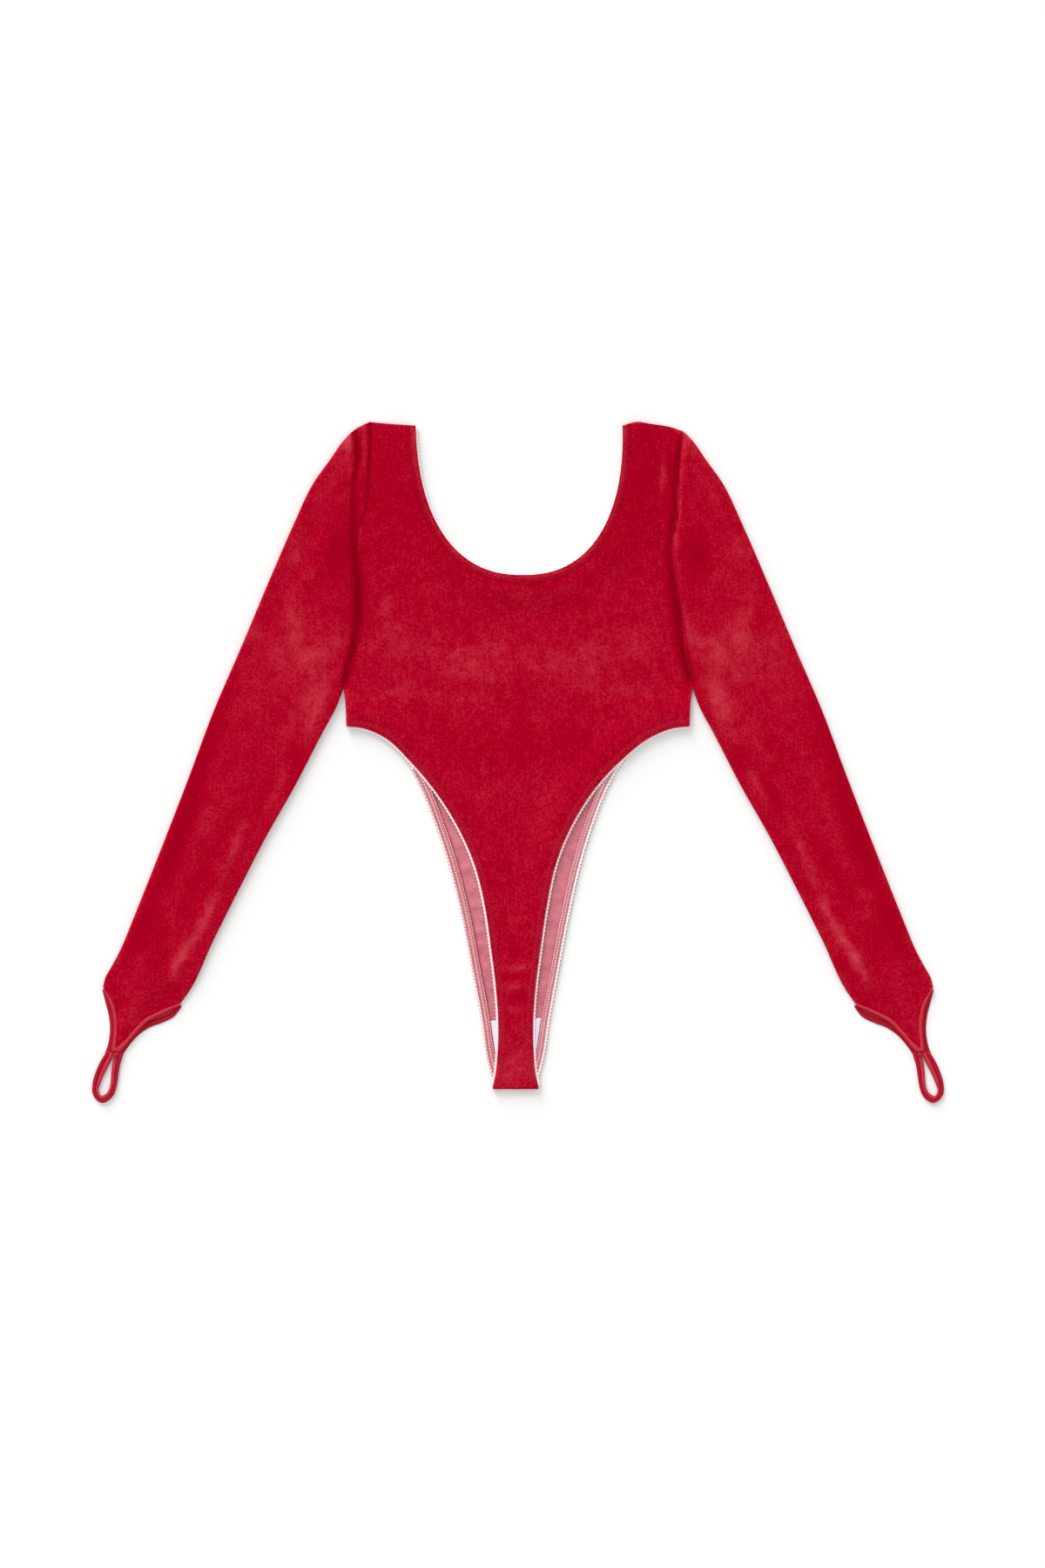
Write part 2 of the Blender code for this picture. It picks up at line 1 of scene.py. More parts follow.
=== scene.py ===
"""Long-sleeved, high-cut velvet leotard laid flat on its back, as it looks.

Tables and sizes are in millimetres and meshes in metres. X runs across the body, Y from the gusset to
the shoulders, Z up from the surface it lies on. Left is -X, as seen from above. Every piece of cloth
is a surface worked out from the tables below, with the same outline as the solid that it stands for.
"""

import math

import bmesh
import bpy
import numpy as np
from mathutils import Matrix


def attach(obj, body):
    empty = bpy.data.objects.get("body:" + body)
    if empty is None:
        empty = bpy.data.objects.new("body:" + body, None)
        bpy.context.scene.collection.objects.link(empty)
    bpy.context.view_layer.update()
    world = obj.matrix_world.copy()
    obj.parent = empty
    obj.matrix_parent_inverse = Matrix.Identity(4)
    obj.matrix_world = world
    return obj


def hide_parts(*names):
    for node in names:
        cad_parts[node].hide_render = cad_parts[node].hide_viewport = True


bl_info = {
    "name": "Velvet leotard",
    "version": (1, 0, 0),
    "blender": (4, 5, 0),
    "location": "View3D > Sidebar > Leotard",
    "description": "Builds a red velvet leotard laid flat, piece by piece, and a plain stage for it",
    "category": "Add Mesh",
}

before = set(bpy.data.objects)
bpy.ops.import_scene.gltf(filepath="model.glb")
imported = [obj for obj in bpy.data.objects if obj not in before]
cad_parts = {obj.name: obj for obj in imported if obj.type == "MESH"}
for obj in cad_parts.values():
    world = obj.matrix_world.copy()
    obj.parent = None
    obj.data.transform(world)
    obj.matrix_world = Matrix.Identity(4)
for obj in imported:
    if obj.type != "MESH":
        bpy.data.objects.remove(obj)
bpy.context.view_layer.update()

MM = 0.001
SIGN = {"left": -1.0, "right": 1.0}

# Wall of each cloth, the gap between layers, and the gap at the armhole seam, where the two rounded
# edges of the cloth sink into each other a little
VELVET = 1.2
TAPE = 1.0
BINDING = 1.4
GAP = 0.3
SEAM_GAP = -0.4

# The middle of the whole part's box, where its origin lies, as the tables below measure it
MIDDLE = (0.0, -0.34, 0.0)

# Room below the upper binding, and the height of the middle of each layer, from the bottom layer up
BINDING_CLEARANCE = 0.51
BACK_Z = VELVET / 2
BACK_TRIM_Z = VELVET + GAP + TAPE / 2
SEAM_Z = VELVET + GAP + VELVET / 2
FRONT_TRIM_Z = BACK_TRIM_Z + TAPE + GAP
FRONT_RIM_Z = FRONT_TRIM_Z + TAPE / 2 + GAP + VELVET / 2
TOP_BINDING_Z = VELVET + BINDING_CLEARANCE + BINDING / 2

# How far from an edge the front lies level over its elastic, and where it has come down to the back
RIM_FLAT = 14.0
RIM_FADE = 45.0

# Neck: a rounded U whose half width a and depth b hold (x/a)^n + (d/b)^n = 1 at depth d. The back's
# neck is this much larger, and the line starts a little below the top, where the shoulder ends
NECK_HALF_WIDTH = 106.7
NECK_DEPTH = 156.6
NECK_TOP_Y = 349.6
NECK_SQUARENESS = 2.35
NECK_BACK_GROW = 2.0
FIRST_BELOW_NECK_TOP = 2.6

# How far the middle of the front lies from x = 0, down its length (y, x), and how fast that fades
# out towards the sides. Then the height on the middle line whose row of points ends at the top of the
# leg edge, and the lower ends of the panels and trims, round the turn of the gusset
LEAN = ((350.0, 1.1), (193.0, 4.7), (120.0, 2.0), (36.0, 0.0), (0.0, -4.5), (-60.0, -3.8),
        (-150.0, -2.2), (-338.0, -2.5))
LEAN_FADE = 1.6
WAIST_Y = 150.0
CROTCH_Y = -338.0
TURN_UNDER = 12.0
FRONT_END_Y = -335.3
BACK_END_Y = CROTCH_Y + TURN_UNDER + GAP
TRIM_END_Y = -334.0

# Shoulder end and armhole of each side, from the neck out and then down to the underarm (x, y)
SHOULDER = {
    "left": ((-105.6, 347.0), (-134.8, 349.2), (-151.4, 350.9)),
    "right": ((107.8, 347.0), (122.3, 351.0), (136.1, 349.2), (158.6, 345.4), (168.1, 342.0)),
}
ARMHOLE = {
    "left": ((-151.9, 350.9), (-151.9, 328.0), (-152.8, 301.0), (-162.7, 247.0), (-165.4, 211.0),
             (-165.2, 160.0), (-168.1, 130.0), (-173.5, 112.0), (-177.1, 94.0), (-180.2, 76.0)),
    "right": ((168.8, 341.8), (164.9, 310.0), (163.7, 256.0), (158.8, 226.0), (163.7, 190.0),
              (170.2, 156.0), (171.6, 126.0), (176.6, 96.0), (180.2, 76.0)),
}

# Body side and leg edge, as half widths at each height (half width, y)
SIDE = ((180.2, 76.0), (178.4, 62.0), (177.1, 36.5))
FRONT_LEG = ((177.1, 36.5), (160.0, 34.5), (135.5, 24.0), (110.5, 2.5), (90.0, -19.5),
             (61.0, -62.5), (42.0, -106.0), (32.0, -149.0), (25.7, -192.0), (20.3, -235.5),
             (18.0, -270.0), (18.6, -300.0), (20.7, -322.0), (23.5, -335.3))
BACK_LEG = ((177.1, 36.5), (158.0, 33.0), (133.0, 21.5), (110.0, -3.0), (98.5, -23.0),
            (82.0, -63.5), (69.0, -104.0), (55.8, -158.0), (45.5, -212.0), (35.6, -266.0),
            (29.3, -306.5), (24.4, -325.7), (22.8, -335.3))

# Elastic inside the neck and leg edges, how far its frilled edge shows past the cloth, at the legs
# for each layer and at the neck for each layer from left to right, and the share of the neck's length
# that its elastic leaves free
ELASTIC_WIDTH = 9.0
LEG_FRILL = {"front": 2.4, "back": 0.0}
NECK_FRILL = {"front": (0.3, 0.3), "back": (2.4, 0.3)}
NECK_TRIM_START = 0.006

# Gusset lining: its upper end on each side, its length and the spacing of its rows, its rise over the
# elastic's level, its ripples, and the distance from its edges over which both set in
LINING_TOP = {"left": -267.5, "right": -264.5}
LINING_LENGTH = 68.0
LINING_STEP = 1.2
LINING_LIFT = 0.13
LINING_FADE = 3.0
RIPPLE_DEPTH = 0.12
RIPPLE_SCALE = 3.1
RIPPLE_LEAN = 0.08

# Sleeve edges as x outwards from the middle (x, y), from the armhole to the cuff
CAP = {
    "left": ((152.3, 351.4), (163.6, 346.1), (172.6, 339.8)),
    "right": ((169.3, 342.3), (175.0, 337.4)),
}
OUTER_EDGE = ((180.4, 331.6), (193.6, 312.8), (211.5, 287.6), (231.0, 247.0), (254.5, 193.0),
              (288.7, 112.0), (312.1, 58.0), (342.7, -23.0), (379.6, -117.5), (395.8, -158.0),
              (412.9, -198.5), (420.5, -212.5), (426.4, -223.0), (428.9, -233.0))
INNER_EDGE = ((180.3, 76.0), (187.0, 58.0), (201.4, 31.0), (229.3, -23.0), (259.9, -77.0),
              (287.8, -131.0), (314.8, -185.0), (340.9, -239.0), (348.6, -249.5))

# Pointed cuff: edge of the velvet and of its binding on the upper and the under layer, each as the
# outer side down to the point and the inner side up from it
CUFF_VELVET = {
    "top": (((428.3, -233.1), (423.7, -239.8), (418.5, -248.0), (414.9, -261.4), (414.0, -274.9),
             (415.1, -289.4), (415.6, -295.7)),
            ((415.6, -295.7), (406.8, -288.4), (397.6, -277.7), (385.6, -265.7), (369.9, -257.4),
             (349.1, -249.1))),
    "under": (((428.3, -233.1), (421.4, -248.0), (418.0, -261.4), (416.7, -274.9),
               (417.6, -288.0), (417.0, -296.6)),
              ((417.0, -296.6), (404.1, -288.1), (394.7, -276.8), (382.7, -268.7),
               (369.2, -264.0), (357.0, -258.0), (349.1, -249.1))),
}
CUFF_BINDING = {
    "top": (((429.2, -235.2), (423.5, -248.0), (419.9, -261.4), (419.0, -274.9),
             (420.1, -290.0), (421.6, -301.1)),
            ((410.4, -301.1), (402.8, -291.9), (394.0, -281.2), (382.5, -269.8),
             (367.7, -261.6), (347.6, -252.2))),
    "under": (((429.6, -235.6), (426.4, -248.0), (423.0, -261.4), (421.6, -274.9),
               (423.2, -290.0), (426.4, -301.1)),
              ((407.5, -301.1), (400.3, -291.2), (391.3, -281.6), (380.5, -274.4),
               (367.9, -269.6), (355.3, -263.0), (347.2, -252.6))),
}

# Place across a cuff at which its point lies, how far the ends of the loop run on under the cuff, the
# loop's height, the share of its edge that a binding leaves free, its gap to the velvet, the lengths
# over which the rows of bindings and loops are spread, their spacing against the elastic's, the
# binding's width when laid flat, and the least share of its wall at its ends
POINT_COLUMN = 0.44
LOOP_UNDER = 2.4
LOOP_HEIGHT = 3.0
BINDING_START = 0.004
CUFF_GAP = -0.15
CUFF_LENGTH = 120.0
LOOP_LENGTH = 115.0
BINDING_SPACING = 1.5
BINDING_WIDTH = 6.0
BLUNT_END = 0.3

# Finger loop: the outline of the folded tape and of the hole in it (x outwards, y)
LOOP_OUTLINE = ((426.4, -301.5), (428.4, -304.4), (435.4, -318.2), (439.6, -333.0),
                (439.4, -343.0), (434.5, -350.0), (429.1, -352.4), (422.8, -349.7),
                (417.4, -343.4), (414.7, -335.3), (412.9, -324.5), (411.1, -312.8),
                (407.6, -301.5))
LOOP_HOLE = ((417.7, -301.5), (418.9, -305.4), (423.7, -315.4), (428.2, -324.5), (431.8, -333.5),
             (433.6, -340.0), (430.6, -345.0), (426.4, -343.4), (422.8, -338.9),
             (421.0, -331.7), (420.1, -320.0), (418.3, -307.4), (417.1, -301.5))

# Sleeves: radius of the folds along them and where they lie flat
FOLD_RADIUS = 1.7
FLAT_RADIUS = (SEAM_Z - BACK_Z) / 2

# Length of a sleeve, how far it stays low beside its seam, how far in the pile shows inside the cuff,
# the lengths over which it rises from the seam and falls to the cuff, the share of its length over
# which a long fold sets in, and the share of the armhole from which it narrows to its inner fold
ARM_LENGTH = 530.0
LEVEL_START = 1.5
CUFF_FACING = 16.0
SEAM_RISE = {"left": 15.0, "right": 5.0}
CUFF_FALL = 70.0
FOLD_END = 0.08
LAST_COLUMN = 0.985

# Soft rises of the front (x, y, half length, half width, turn in degrees, height)
BODY_RELIEF = (
    (-78.0, 168.0, 70.0, 34.0, 62.0, 0.7),
    (84.0, 152.0, 64.0, 30.0, 118.0, 0.8),
    (6.0, 92.0, 88.0, 30.0, 8.0, 0.6),
    (-40.0, 18.0, 60.0, 26.0, -24.0, 0.5),
    (46.0, 30.0, 52.0, 24.0, 30.0, 0.5),
    (-134.0, 262.0, 46.0, 12.0, 82.0, 0.5),
    (136.0, 254.0, 52.0, 13.0, 98.0, 0.5),
)

# Folds along each sleeve (sides, place across from the outer edge, width of it, start, end, height)
SLEEVE_RELIEF = (
    ("both", 0.15, 0.06, 0.05, 0.85, -0.45),
    ("both", 0.29, 0.07, 0.02, 0.36, 0.55),
    ("both", 0.74, 0.07, 0.50, 0.92, 0.60),
    ("both", 0.50, 0.10, 0.30, 0.70, 0.30),
    ("left", 0.62, 0.08, 0.04, 0.24, 0.50),
    ("left", 0.80, 0.05, 0.02, 0.18, -0.40),
    ("right", 0.56, 0.08, 0.03, 0.26, 0.45),
    ("right", 0.78, 0.06, 0.04, 0.22, -0.35),
)

# Creases of the gusset, front and back, where it is gathered a little by its elastic (x, y, half
# length, half width, turn in degrees, height)
GUSSET_CREASES = (
    (0.0, -163.0, 15.0, 3.4, 2.0, 0.22), (-3.0, -178.0, 17.0, 3.0, -3.0, 0.26),
    (-1.0, -191.0, 12.0, 2.6, 3.0, 0.18), (-2.0, -213.5, 14.0, 3.6, 1.0, 0.38),
    (-4.0, -222.0, 9.0, 2.2, 4.0, -0.24), (-3.0, -232.0, 13.0, 3.2, -2.0, 0.42),
    (-2.0, -243.0, 11.0, 2.6, 0.0, -0.26), (-1.0, -257.0, 12.0, 3.4, -3.0, 0.28),
    (-3.0, -281.0, 9.0, 6.0, 0.0, 0.2),
)
BACK_CREASES = (
    (-70.0, -88.0, 16.0, 3.6, 24.0, 0.34), (-62.0, -112.0, 20.0, 3.0, 16.0, 0.42),
    (-56.0, -133.0, 18.0, 2.8, 12.0, 0.30), (-52.0, -151.0, 22.0, 3.4, 18.0, 0.46),
    (-47.0, -176.0, 18.0, 2.6, 10.0, 0.34), (-44.0, -190.0, 16.0, 2.4, 6.0, 0.42),
    (-41.0, -214.0, 15.0, 3.0, 14.0, 0.34), (-37.0, -236.0, 14.0, 2.6, 5.0, 0.30),
    (56.0, -96.0, 18.0, 3.2, -22.0, 0.36), (51.0, -119.0, 20.0, 2.8, -14.0, 0.44),
    (46.0, -141.0, 18.0, 3.0, -10.0, 0.34), (43.0, -165.0, 20.0, 2.8, -16.0, 0.42),
    (38.0, -187.0, 16.0, 2.6, -8.0, 0.32), (35.0, -209.0, 15.0, 2.8, -14.0, 0.40),
    (32.0, -233.0, 13.0, 2.6, -6.0, 0.30),
)

# Distance from the leg edges over which the creases set in, the height below which the back has them
# and the distance over which they set in there, how many times the back's are raised, and how high
# they are at most
FRONT_CREASE_FADE = 9.0
BACK_CREASE_FADE = 5.0
BACK_CREASE_TOP = -60.0
BACK_CREASE_TOP_FADE = 20.0
BACK_CREASE_GAIN = 2.6
BACK_CREASE_LIMIT = 1.2

# Grooves that the stitches press into the front (distance from the edge, width, depth)
LEG_GROOVE = (5.0, 2.2, 0.16)
NECK_GROOVE = (6.8, 1.9, 0.2)

# Where the nap is brushed light (above 0) or dark (below 0) on the body, together with painted light
# and shade: a painted highlight on the tops of the gusset's creases and on its turned fold, and
# painted shade between the creases (x, y, half length, half width, turn in degrees, strength)
BODY_NAP_AND_SHADE = (
    (0.0, 290.0, 190.0, 70.0, 0.0, -0.16), (0.0, 105.0, 150.0, 34.0, 0.0, 0.08),
    (-136.0, 160.0, 9.0, 6.0, 70.0, 0.42), (-128.0, 140.0, 14.0, 7.0, -40.0, 0.22),
    (-141.0, 122.0, 18.0, 12.0, 20.0, 0.16), (-109.0, 119.0, 26.0, 9.0, -12.0, 0.20),
    (-54.0, 99.0, 24.0, 13.0, -30.0, 0.26), (-27.0, 119.0, 22.0, 8.0, 10.0, 0.24),
    (18.0, 104.0, 30.0, 11.0, 0.0, 0.16), (73.0, 117.0, 16.0, 10.0, 10.0, 0.28),
    (64.0, 94.0, 26.0, 10.0, 12.0, 0.20), (123.0, 124.0, 22.0, 15.0, 30.0, 0.20),
    (105.0, 74.0, 34.0, 9.0, -4.0, 0.20), (-128.0, 72.0, 40.0, 9.0, 4.0, 0.16),
    (-60.0, 66.0, 40.0, 7.0, -3.0, 0.12), (9.0, 164.0, 30.0, 9.0, 90.0, 0.10),
    (4.0, 72.0, 60.0, 7.0, 90.0, -0.14), (0.0, 10.0, 110.0, 22.0, 0.0, -0.08),
    (-20.0, -26.0, 34.0, 16.0, 20.0, 0.10), (24.0, -52.0, 30.0, 14.0, 80.0, 0.10),
    (-108.0, 338.0, 14.0, 4.0, 85.0, 0.25),
    (-112.0, 300.0, 22.0, 4.0, 80.0, 0.12), (-3.0, -163.0, 15.0, 3.0, 0.0, 0.16),
    (-3.0, -176.0, 17.0, 3.0, 0.0, 0.22), (-3.0, -194.0, 14.0, 7.0, 0.0, -0.14),
    (-3.0, -213.0, 15.0, 3.2, 0.0, 0.32), (-3.0, -222.0, 13.0, 3.0, 0.0, -0.2),
    (-3.0, -232.0, 14.0, 3.2, 0.0, 0.36), (-3.0, -244.0, 12.0, 4.0, 0.0, -0.2),
    (-3.0, -257.0, 11.0, 3.0, 0.0, 0.20), (-3.0, -318.0, 30.0, 20.0, 0.0, 0.34),
)

# The same on the sleeves, with x outwards, alike on both: brushed patches together with painted
# highlights along the long folds and painted shade in the dark bands beside them
SLEEVE_NAP_AND_SHADE = (
    (177.0, 331.0, 12.0, 6.0, 120.0, 0.55), (193.0, 290.0, 26.0, 7.0, 112.0, 0.16),
    (186.0, 214.0, 22.0, 13.0, 100.0, -0.34), (229.0, 192.0, 10.0, 8.0, 60.0, -0.20),
    (232.0, 210.0, 22.0, 9.0, 110.0, 0.26), (218.0, 190.0, 26.0, 9.0, 140.0, 0.16),
    (234.0, 143.0, 22.0, 9.0, 84.0, 0.40), (228.0, 127.0, 20.0, 10.0, 130.0, 0.34),
    (214.0, 106.0, 28.0, 14.0, 138.0, 0.42), (207.0, 70.0, 26.0, 10.0, 108.0, 0.46),
    (186.0, 124.0, 20.0, 10.0, 160.0, 0.30), (212.0, 44.0, 32.0, 7.0, 112.0, 0.32),
    (236.0, 36.0, 34.0, 9.0, 112.0, 0.16), (262.0, 122.0, 24.0, 12.0, 40.0, 0.18),
    (266.0, 84.0, 40.0, 26.0, 112.0, 0.12), (229.0, 5.0, 12.0, 8.0, 112.0, -0.30),
    (246.0, -22.0, 26.0, 4.6, 118.0, 0.36), (262.0, -34.0, 40.0, 8.0, 116.0, -0.12),
    (294.0, -92.0, 34.0, 5.0, 113.0, 0.34), (322.0, -160.0, 26.0, 5.0, 116.0, 0.58),
    (342.0, -192.0, 22.0, 5.0, 120.0, 0.62), (353.0, -214.0, 16.0, 5.0, 120.0, 0.42),
    (326.0, 18.0, 60.0, 11.0, 111.0, -0.26), (352.0, -82.0, 60.0, 11.0, 111.0, -0.30),
    (388.0, -176.0, 40.0, 11.0, 112.0, -0.22), (322.0, -60.0, 60.0, 8.0, 112.0, 0.12),
    (363.0, -146.0, 26.0, 9.0, 70.0, 0.14), (395.0, -212.0, 22.0, 14.0, 90.0, 0.12),
    (372.0, -190.0, 26.0, 8.0, 112.0, -0.12), (330.0, -120.0, 40.0, 6.0, 114.0, -0.14),
    (400.0, -262.0, 22.0, 9.0, 110.0, 0.14),
)

# Valleys beside the armholes, the fold between them and the sleeve's rolled edge, as lines of painted
# shade (below 0) and painted highlight (above 0) (x, y, half width, strength). A line's painted
# light is worked out this far around
LEFT_VALLEY = ((-169.3, 341.0, 2.6, -0.9), (-165.8, 322.0, 2.6, -1.1), (-166.0, 307.0, 2.4, -0.9),
               (-170.0, 289.0, 2.4, -0.7), (-169.8, 261.0, 2.8, -0.55), (-169.9, 237.0, 3.6, -0.6),
               (-167.0, 203.0, 4.2, -0.8), (-165.6, 180.0, 4.6, -1.0), (-165.0, 155.0, 4.6, -0.95),
               (-167.0, 135.0, 4.2, -0.85), (-171.0, 115.0, 3.8, -0.9), (-176.5, 92.0, 3.4, -0.9),
               (-179.5, 80.0, 3.0, -0.9))
RIGHT_VALLEY = ((168.9, 335.0, 2.4, -0.9), (165.4, 318.0, 3.0, -0.85), (162.6, 290.0, 3.4, -0.6),
                (161.2, 258.0, 3.4, -0.65), (157.4, 232.0, 3.6, -0.6), (156.6, 215.0, 4.4, -0.55),
                (159.4, 190.0, 5.6, -0.65), (163.5, 160.0, 6.2, -0.7), (167.5, 130.0, 5.6, -0.8),
                (172.5, 105.0, 4.8, -0.95), (177.5, 86.0, 4.0, -0.9))
SHADE_AND_HIGHLIGHT_LINES = (
    LEFT_VALLEY,
    RIGHT_VALLEY,
    ((-152.4, 349.5, 1.5, -0.8), (-152.6, 313.0, 1.5, -0.8), (-155.4, 277.0, 1.5, -0.7),
     (-160.3, 253.0, 1.6, -0.5), (-164.3, 243.0, 1.6, -0.3)),
    ((-160.0, 348.0, 2.8, 0.4), (-159.6, 325.0, 2.8, 0.3), (-161.2, 300.0, 2.6, 0.2),
     (-164.0, 265.0, 2.0, 0.05)),
    ((-176.0, 338.0, 2.8, 0.4), (-174.6, 320.0, 3.2, 0.3), (-173.6, 300.0, 2.4, 0.25),
     (-173.6, 270.0, 2.0, 0.1)),
    ((173.6, 335.0, 2.4, 0.7), (170.0, 315.0, 2.2, 0.5), (168.0, 290.0, 2.0, 0.35),
     (167.2, 262.0, 2.0, 0.35), (163.4, 237.0, 2.0, 0.35), (163.2, 218.0, 2.0, 0.3),
     (166.4, 195.0, 2.2, 0.25), (169.8, 170.0, 2.4, 0.25), (173.4, 148.0, 2.6, 0.25),
     (178.0, 122.0, 3.0, 0.25), (182.0, 100.0, 3.0, 0.2)),
    ((151.5, 330.0, 3.0, 0.0), (150.6, 318.0, 3.0, 0.25), (150.0, 303.0, 3.6, 0.4),
     (149.2, 291.0, 3.4, 0.45), (148.5, 279.0, 2.6, 0.1)),
    ((154.5, 326.0, 1.8, -0.3), (156.6, 300.0, 1.8, -0.3), (159.0, 278.0, 1.8, -0.1)),
)
SHADE_LINE_REACH = 16.0

# Painted light along an edge (distance from it, width, strength): at the neck a painted highlight over
# the roll of the elastic and painted shade along the needle line, then a painted highlight at every
# free edge of a panel and beside a sleeve's folds
NECK_HIGHLIGHT_AND_SHADE = ((3.0, 2.0, 0.2), (7.2, 1.8, -0.16))
EDGE_HIGHLIGHT = (0.0, 2.2, 0.25)
FOLD_HIGHLIGHT = (0.0, 3.0, 0.14)

# The left sleeve's sunken line beside the armhole (distance from the valley, width, depth)
TROUGH = (0.0, 3.2, 1.3)

# Close stations beside a free edge, for its rounding, and the lengths over which those of the
# armhole, the side and the leg edge are spread
EDGE_STATIONS = (0.0, 0.06, 0.2, 0.4, 0.6)
SEAM_LENGTH = 280.0
SIDE_LENGTH = 40.0
LEG_LENGTH = 430.0

# Columns of each surface, the back's row spacing against the front's, the steps round the turn of the
# gusset, and the points in a quarter of a sleeve's fold
FRONT_COLUMNS = 50
BACK_COLUMNS = 40
LINING_COLUMNS = 26
SLEEVE_COLUMNS = 52
BACK_SPACING = 1.2
TURN_STEPS = 12
FOLD_POINTS = 7

# Length and row spacing of the flap under the gusset, the distance over which the shoulder's own line
# fades out, the points of the neck's line, and the distance below which two points become one
FLAP_LENGTH = 10.0
FLAP_STEP = 1.5
SHOULDER_FADE = 12.0
LINE_POINTS = 400
MERGE = 0.002

# Frilled edge: pitch, depth and bluntness of its scallops
PICOT_PITCH = 3.9
PICOT_DEPTH = 1.3
PICOT_BLUNTNESS = 0.7

# Stitches: length of a zigzag on the elastic, on the front, where it is drawn coarser than the real
# one so that it shows, and in the lattice behind the leg openings
ZIGZAG_PITCH = 3.4
FRONT_PITCH = 4.8
LATTICE_PITCH = 3.3

# Share of an edge that its stitches cover (start, end), and the rows on the front along its legs and
# neck (distance of the middle from the edge, swing, phase, darkness)
LEG_RUN = (0.004, 0.985)
NECK_RUN = (0.01, 1.0)
ELASTIC_RUN = (0.2, 0.99)
LEG_ROWS = ((4.9, 2.2, 0.0, 0.0), (4.9, 2.2, 0.5, 0.4))
NECK_ROWS = ((3.6, 1.2, 0.0, 0.0), (6.6, 0.9, 0.0, 0.45))

# Lattice on the elastic (distance of the middle from the edge, swing), and the line of thread along
# the elastic's inner edge: its distance from that edge, swing, height over the elastic's middle and
# darkness. That line is drawn thick and dark, so that besides the thread it is painted shade along
# the elastic's inner edge
LATTICE = {"left": (4.6, 4.3), "right": (5.4, 3.6)}
INNER_INSET = 0.2
INNER_SWING = 0.12
INNER_HEIGHT = 0.3
INNER_DARKNESS_AND_SHADE = 0.3

# Bar tacks over a finger loop (y, x outwards, half length), the points in one, its height over the
# loop, its bow and its darkness
BAR_TACKS = ((-302.6, 415.9, 2.6), (-304.0, 416.3, 3.0), (-305.4, 416.8, 2.6))
BAR_POINTS = 9
BAR_LIFT = 0.1
BAR_BOW = 0.2
BAR_DARKNESS = 0.3

# Thread: radius, how many times that each kind of stitch is drawn, sides of its cross-section, points
# in one zigzag, and how far a stroke bows up
THREAD_RADIUS = 0.22
FRONT_THREAD = 1.4
LATTICE_THREAD = 1.2
INNER_THREAD = {"left": 2.4, "right": 1.1}
BAR_THREAD = 1.5
THREAD_SIDES = 5
POINTS_PER_ZIGZAG = 8
STROKE_BOW = 0.16

# Pitch of the wave texture's bands at scale 1, in metres
BAND = 0.314

# Stage, in metres: half the width of the surface and how far it lies below the cloth, the light from
# all round and from one wide low lamp, and a camera straight above that sees this height
SURFACE_HALF = 40.0
SURFACE_DROP = 0.0001
SKY_STRENGTH = 0.87
LAMP_SPREAD = math.radians(36)
LAMP_STRENGTH = 3.7
LAMP_PLACE = (-0.8, 1.8, 0.62)
CAMERA_PLACE = (0.0047, -0.0226)
CAMERA_LENS = 100.0
CAMERA_SENSOR = 36.0
VIEW_HEIGHT = 1.62


def linear(code):
    """An sRGB hex colour as linear red, green and blue."""
    parts = [int(code[i:i + 2], 16) / 255 for i in (1, 3, 5)]
    return [c / 12.92 if c <= 0.04045 else ((c + 0.055) / 1.055) ** 2.4 for c in parts]


def colour(name, description, code):
    """A colour property whose default is an sRGB hex colour."""
    return bpy.props.FloatVectorProperty(name=name, description=description, default=linear(code),
                                         subtype="COLOR", size=3, min=0.0, max=1.0)


def length(name, description, default):
    """A length property, in metres."""
    return bpy.props.FloatProperty(name=name, description=description, default=default,
                                   unit="LENGTH", precision=5, min=0.0)


class LeotardSizes(bpy.types.PropertyGroup):
    """Sizes of the cloth's detail."""
    panel_step: length("Panel spacing", "Distance between the rows of a panel's surface", 0.0028)
    sleeve_step: length("Sleeve spacing", "Distance between the rings of a sleeve", 0.0034)
    trim_step: length("Trim spacing", "Distance between the rows of elastic and binding", 0.0006)
    pile: length("Pile spacing", "Size of the pile's tufts as drawn", 0.0022)
    mottle: length("Mottle size", "Size of the patches of brushed nap", 0.014)
    course: length("Knit course", "Height of one course of the knit reverse, as drawn", 0.0016)
    rib: length("Elastic rib", "Pitch of the ribs across the elastic", 0.0011)
    # Strength of the brushed patches together with the painted shade and highlights held in the same
    # point values
    nap_and_shade: bpy.props.FloatProperty(name="Nap", description="Strength of the brushed patches",
                                 default=0.5, min=0.0, max=2.0)


class LeotardColours(bpy.types.PropertyGroup):
    """Colours of cloth, trim and stage."""
    # The deep colour also gives the painted shade, and the brushed colour the painted highlights
    pile_deep: colour("Pile, deep", "Velvet where the pile leans away", "#6E000C")
    pile_mid: colour("Pile", "Velvet on the whole", "#A1001F")
    pile_light: colour("Pile, brushed", "Velvet where the pile is brushed flat", "#BC3444")
    knit: colour("Knit reverse", "Inside of the velvet", "#C6707C")
    jersey: colour("Jersey", "Lining of the gusset", "#E2DCEC")
    elastic: colour("Elastic", "Frilled elastic", "#FFF4F4")
    thread: colour("Thread", "Stitches", "#C8243E")
    binding: colour("Binding", "Folded binding at cuffs and finger loops", "#BA3443")
    floor: colour("Surface", "Surface below the leotard", "#EBEBEA")


def smooth_step(value):
    """0 below 0, 1 above 1, and an even S between."""
    v = np.clip(value, 0, 1)
    return v * v * (3 - 2 * v)


def measured(line):
    """A dense line with how far along it each of its points lies, 0 to 1."""
    run = np.concatenate([[0], np.cumsum(np.linalg.norm(np.diff(line, axis=0), axis=1))])
    return line, run / run[-1]


def reach(line):
    """The length of a line of points."""
    return np.linalg.norm(np.diff(line, axis=0), axis=1).sum()


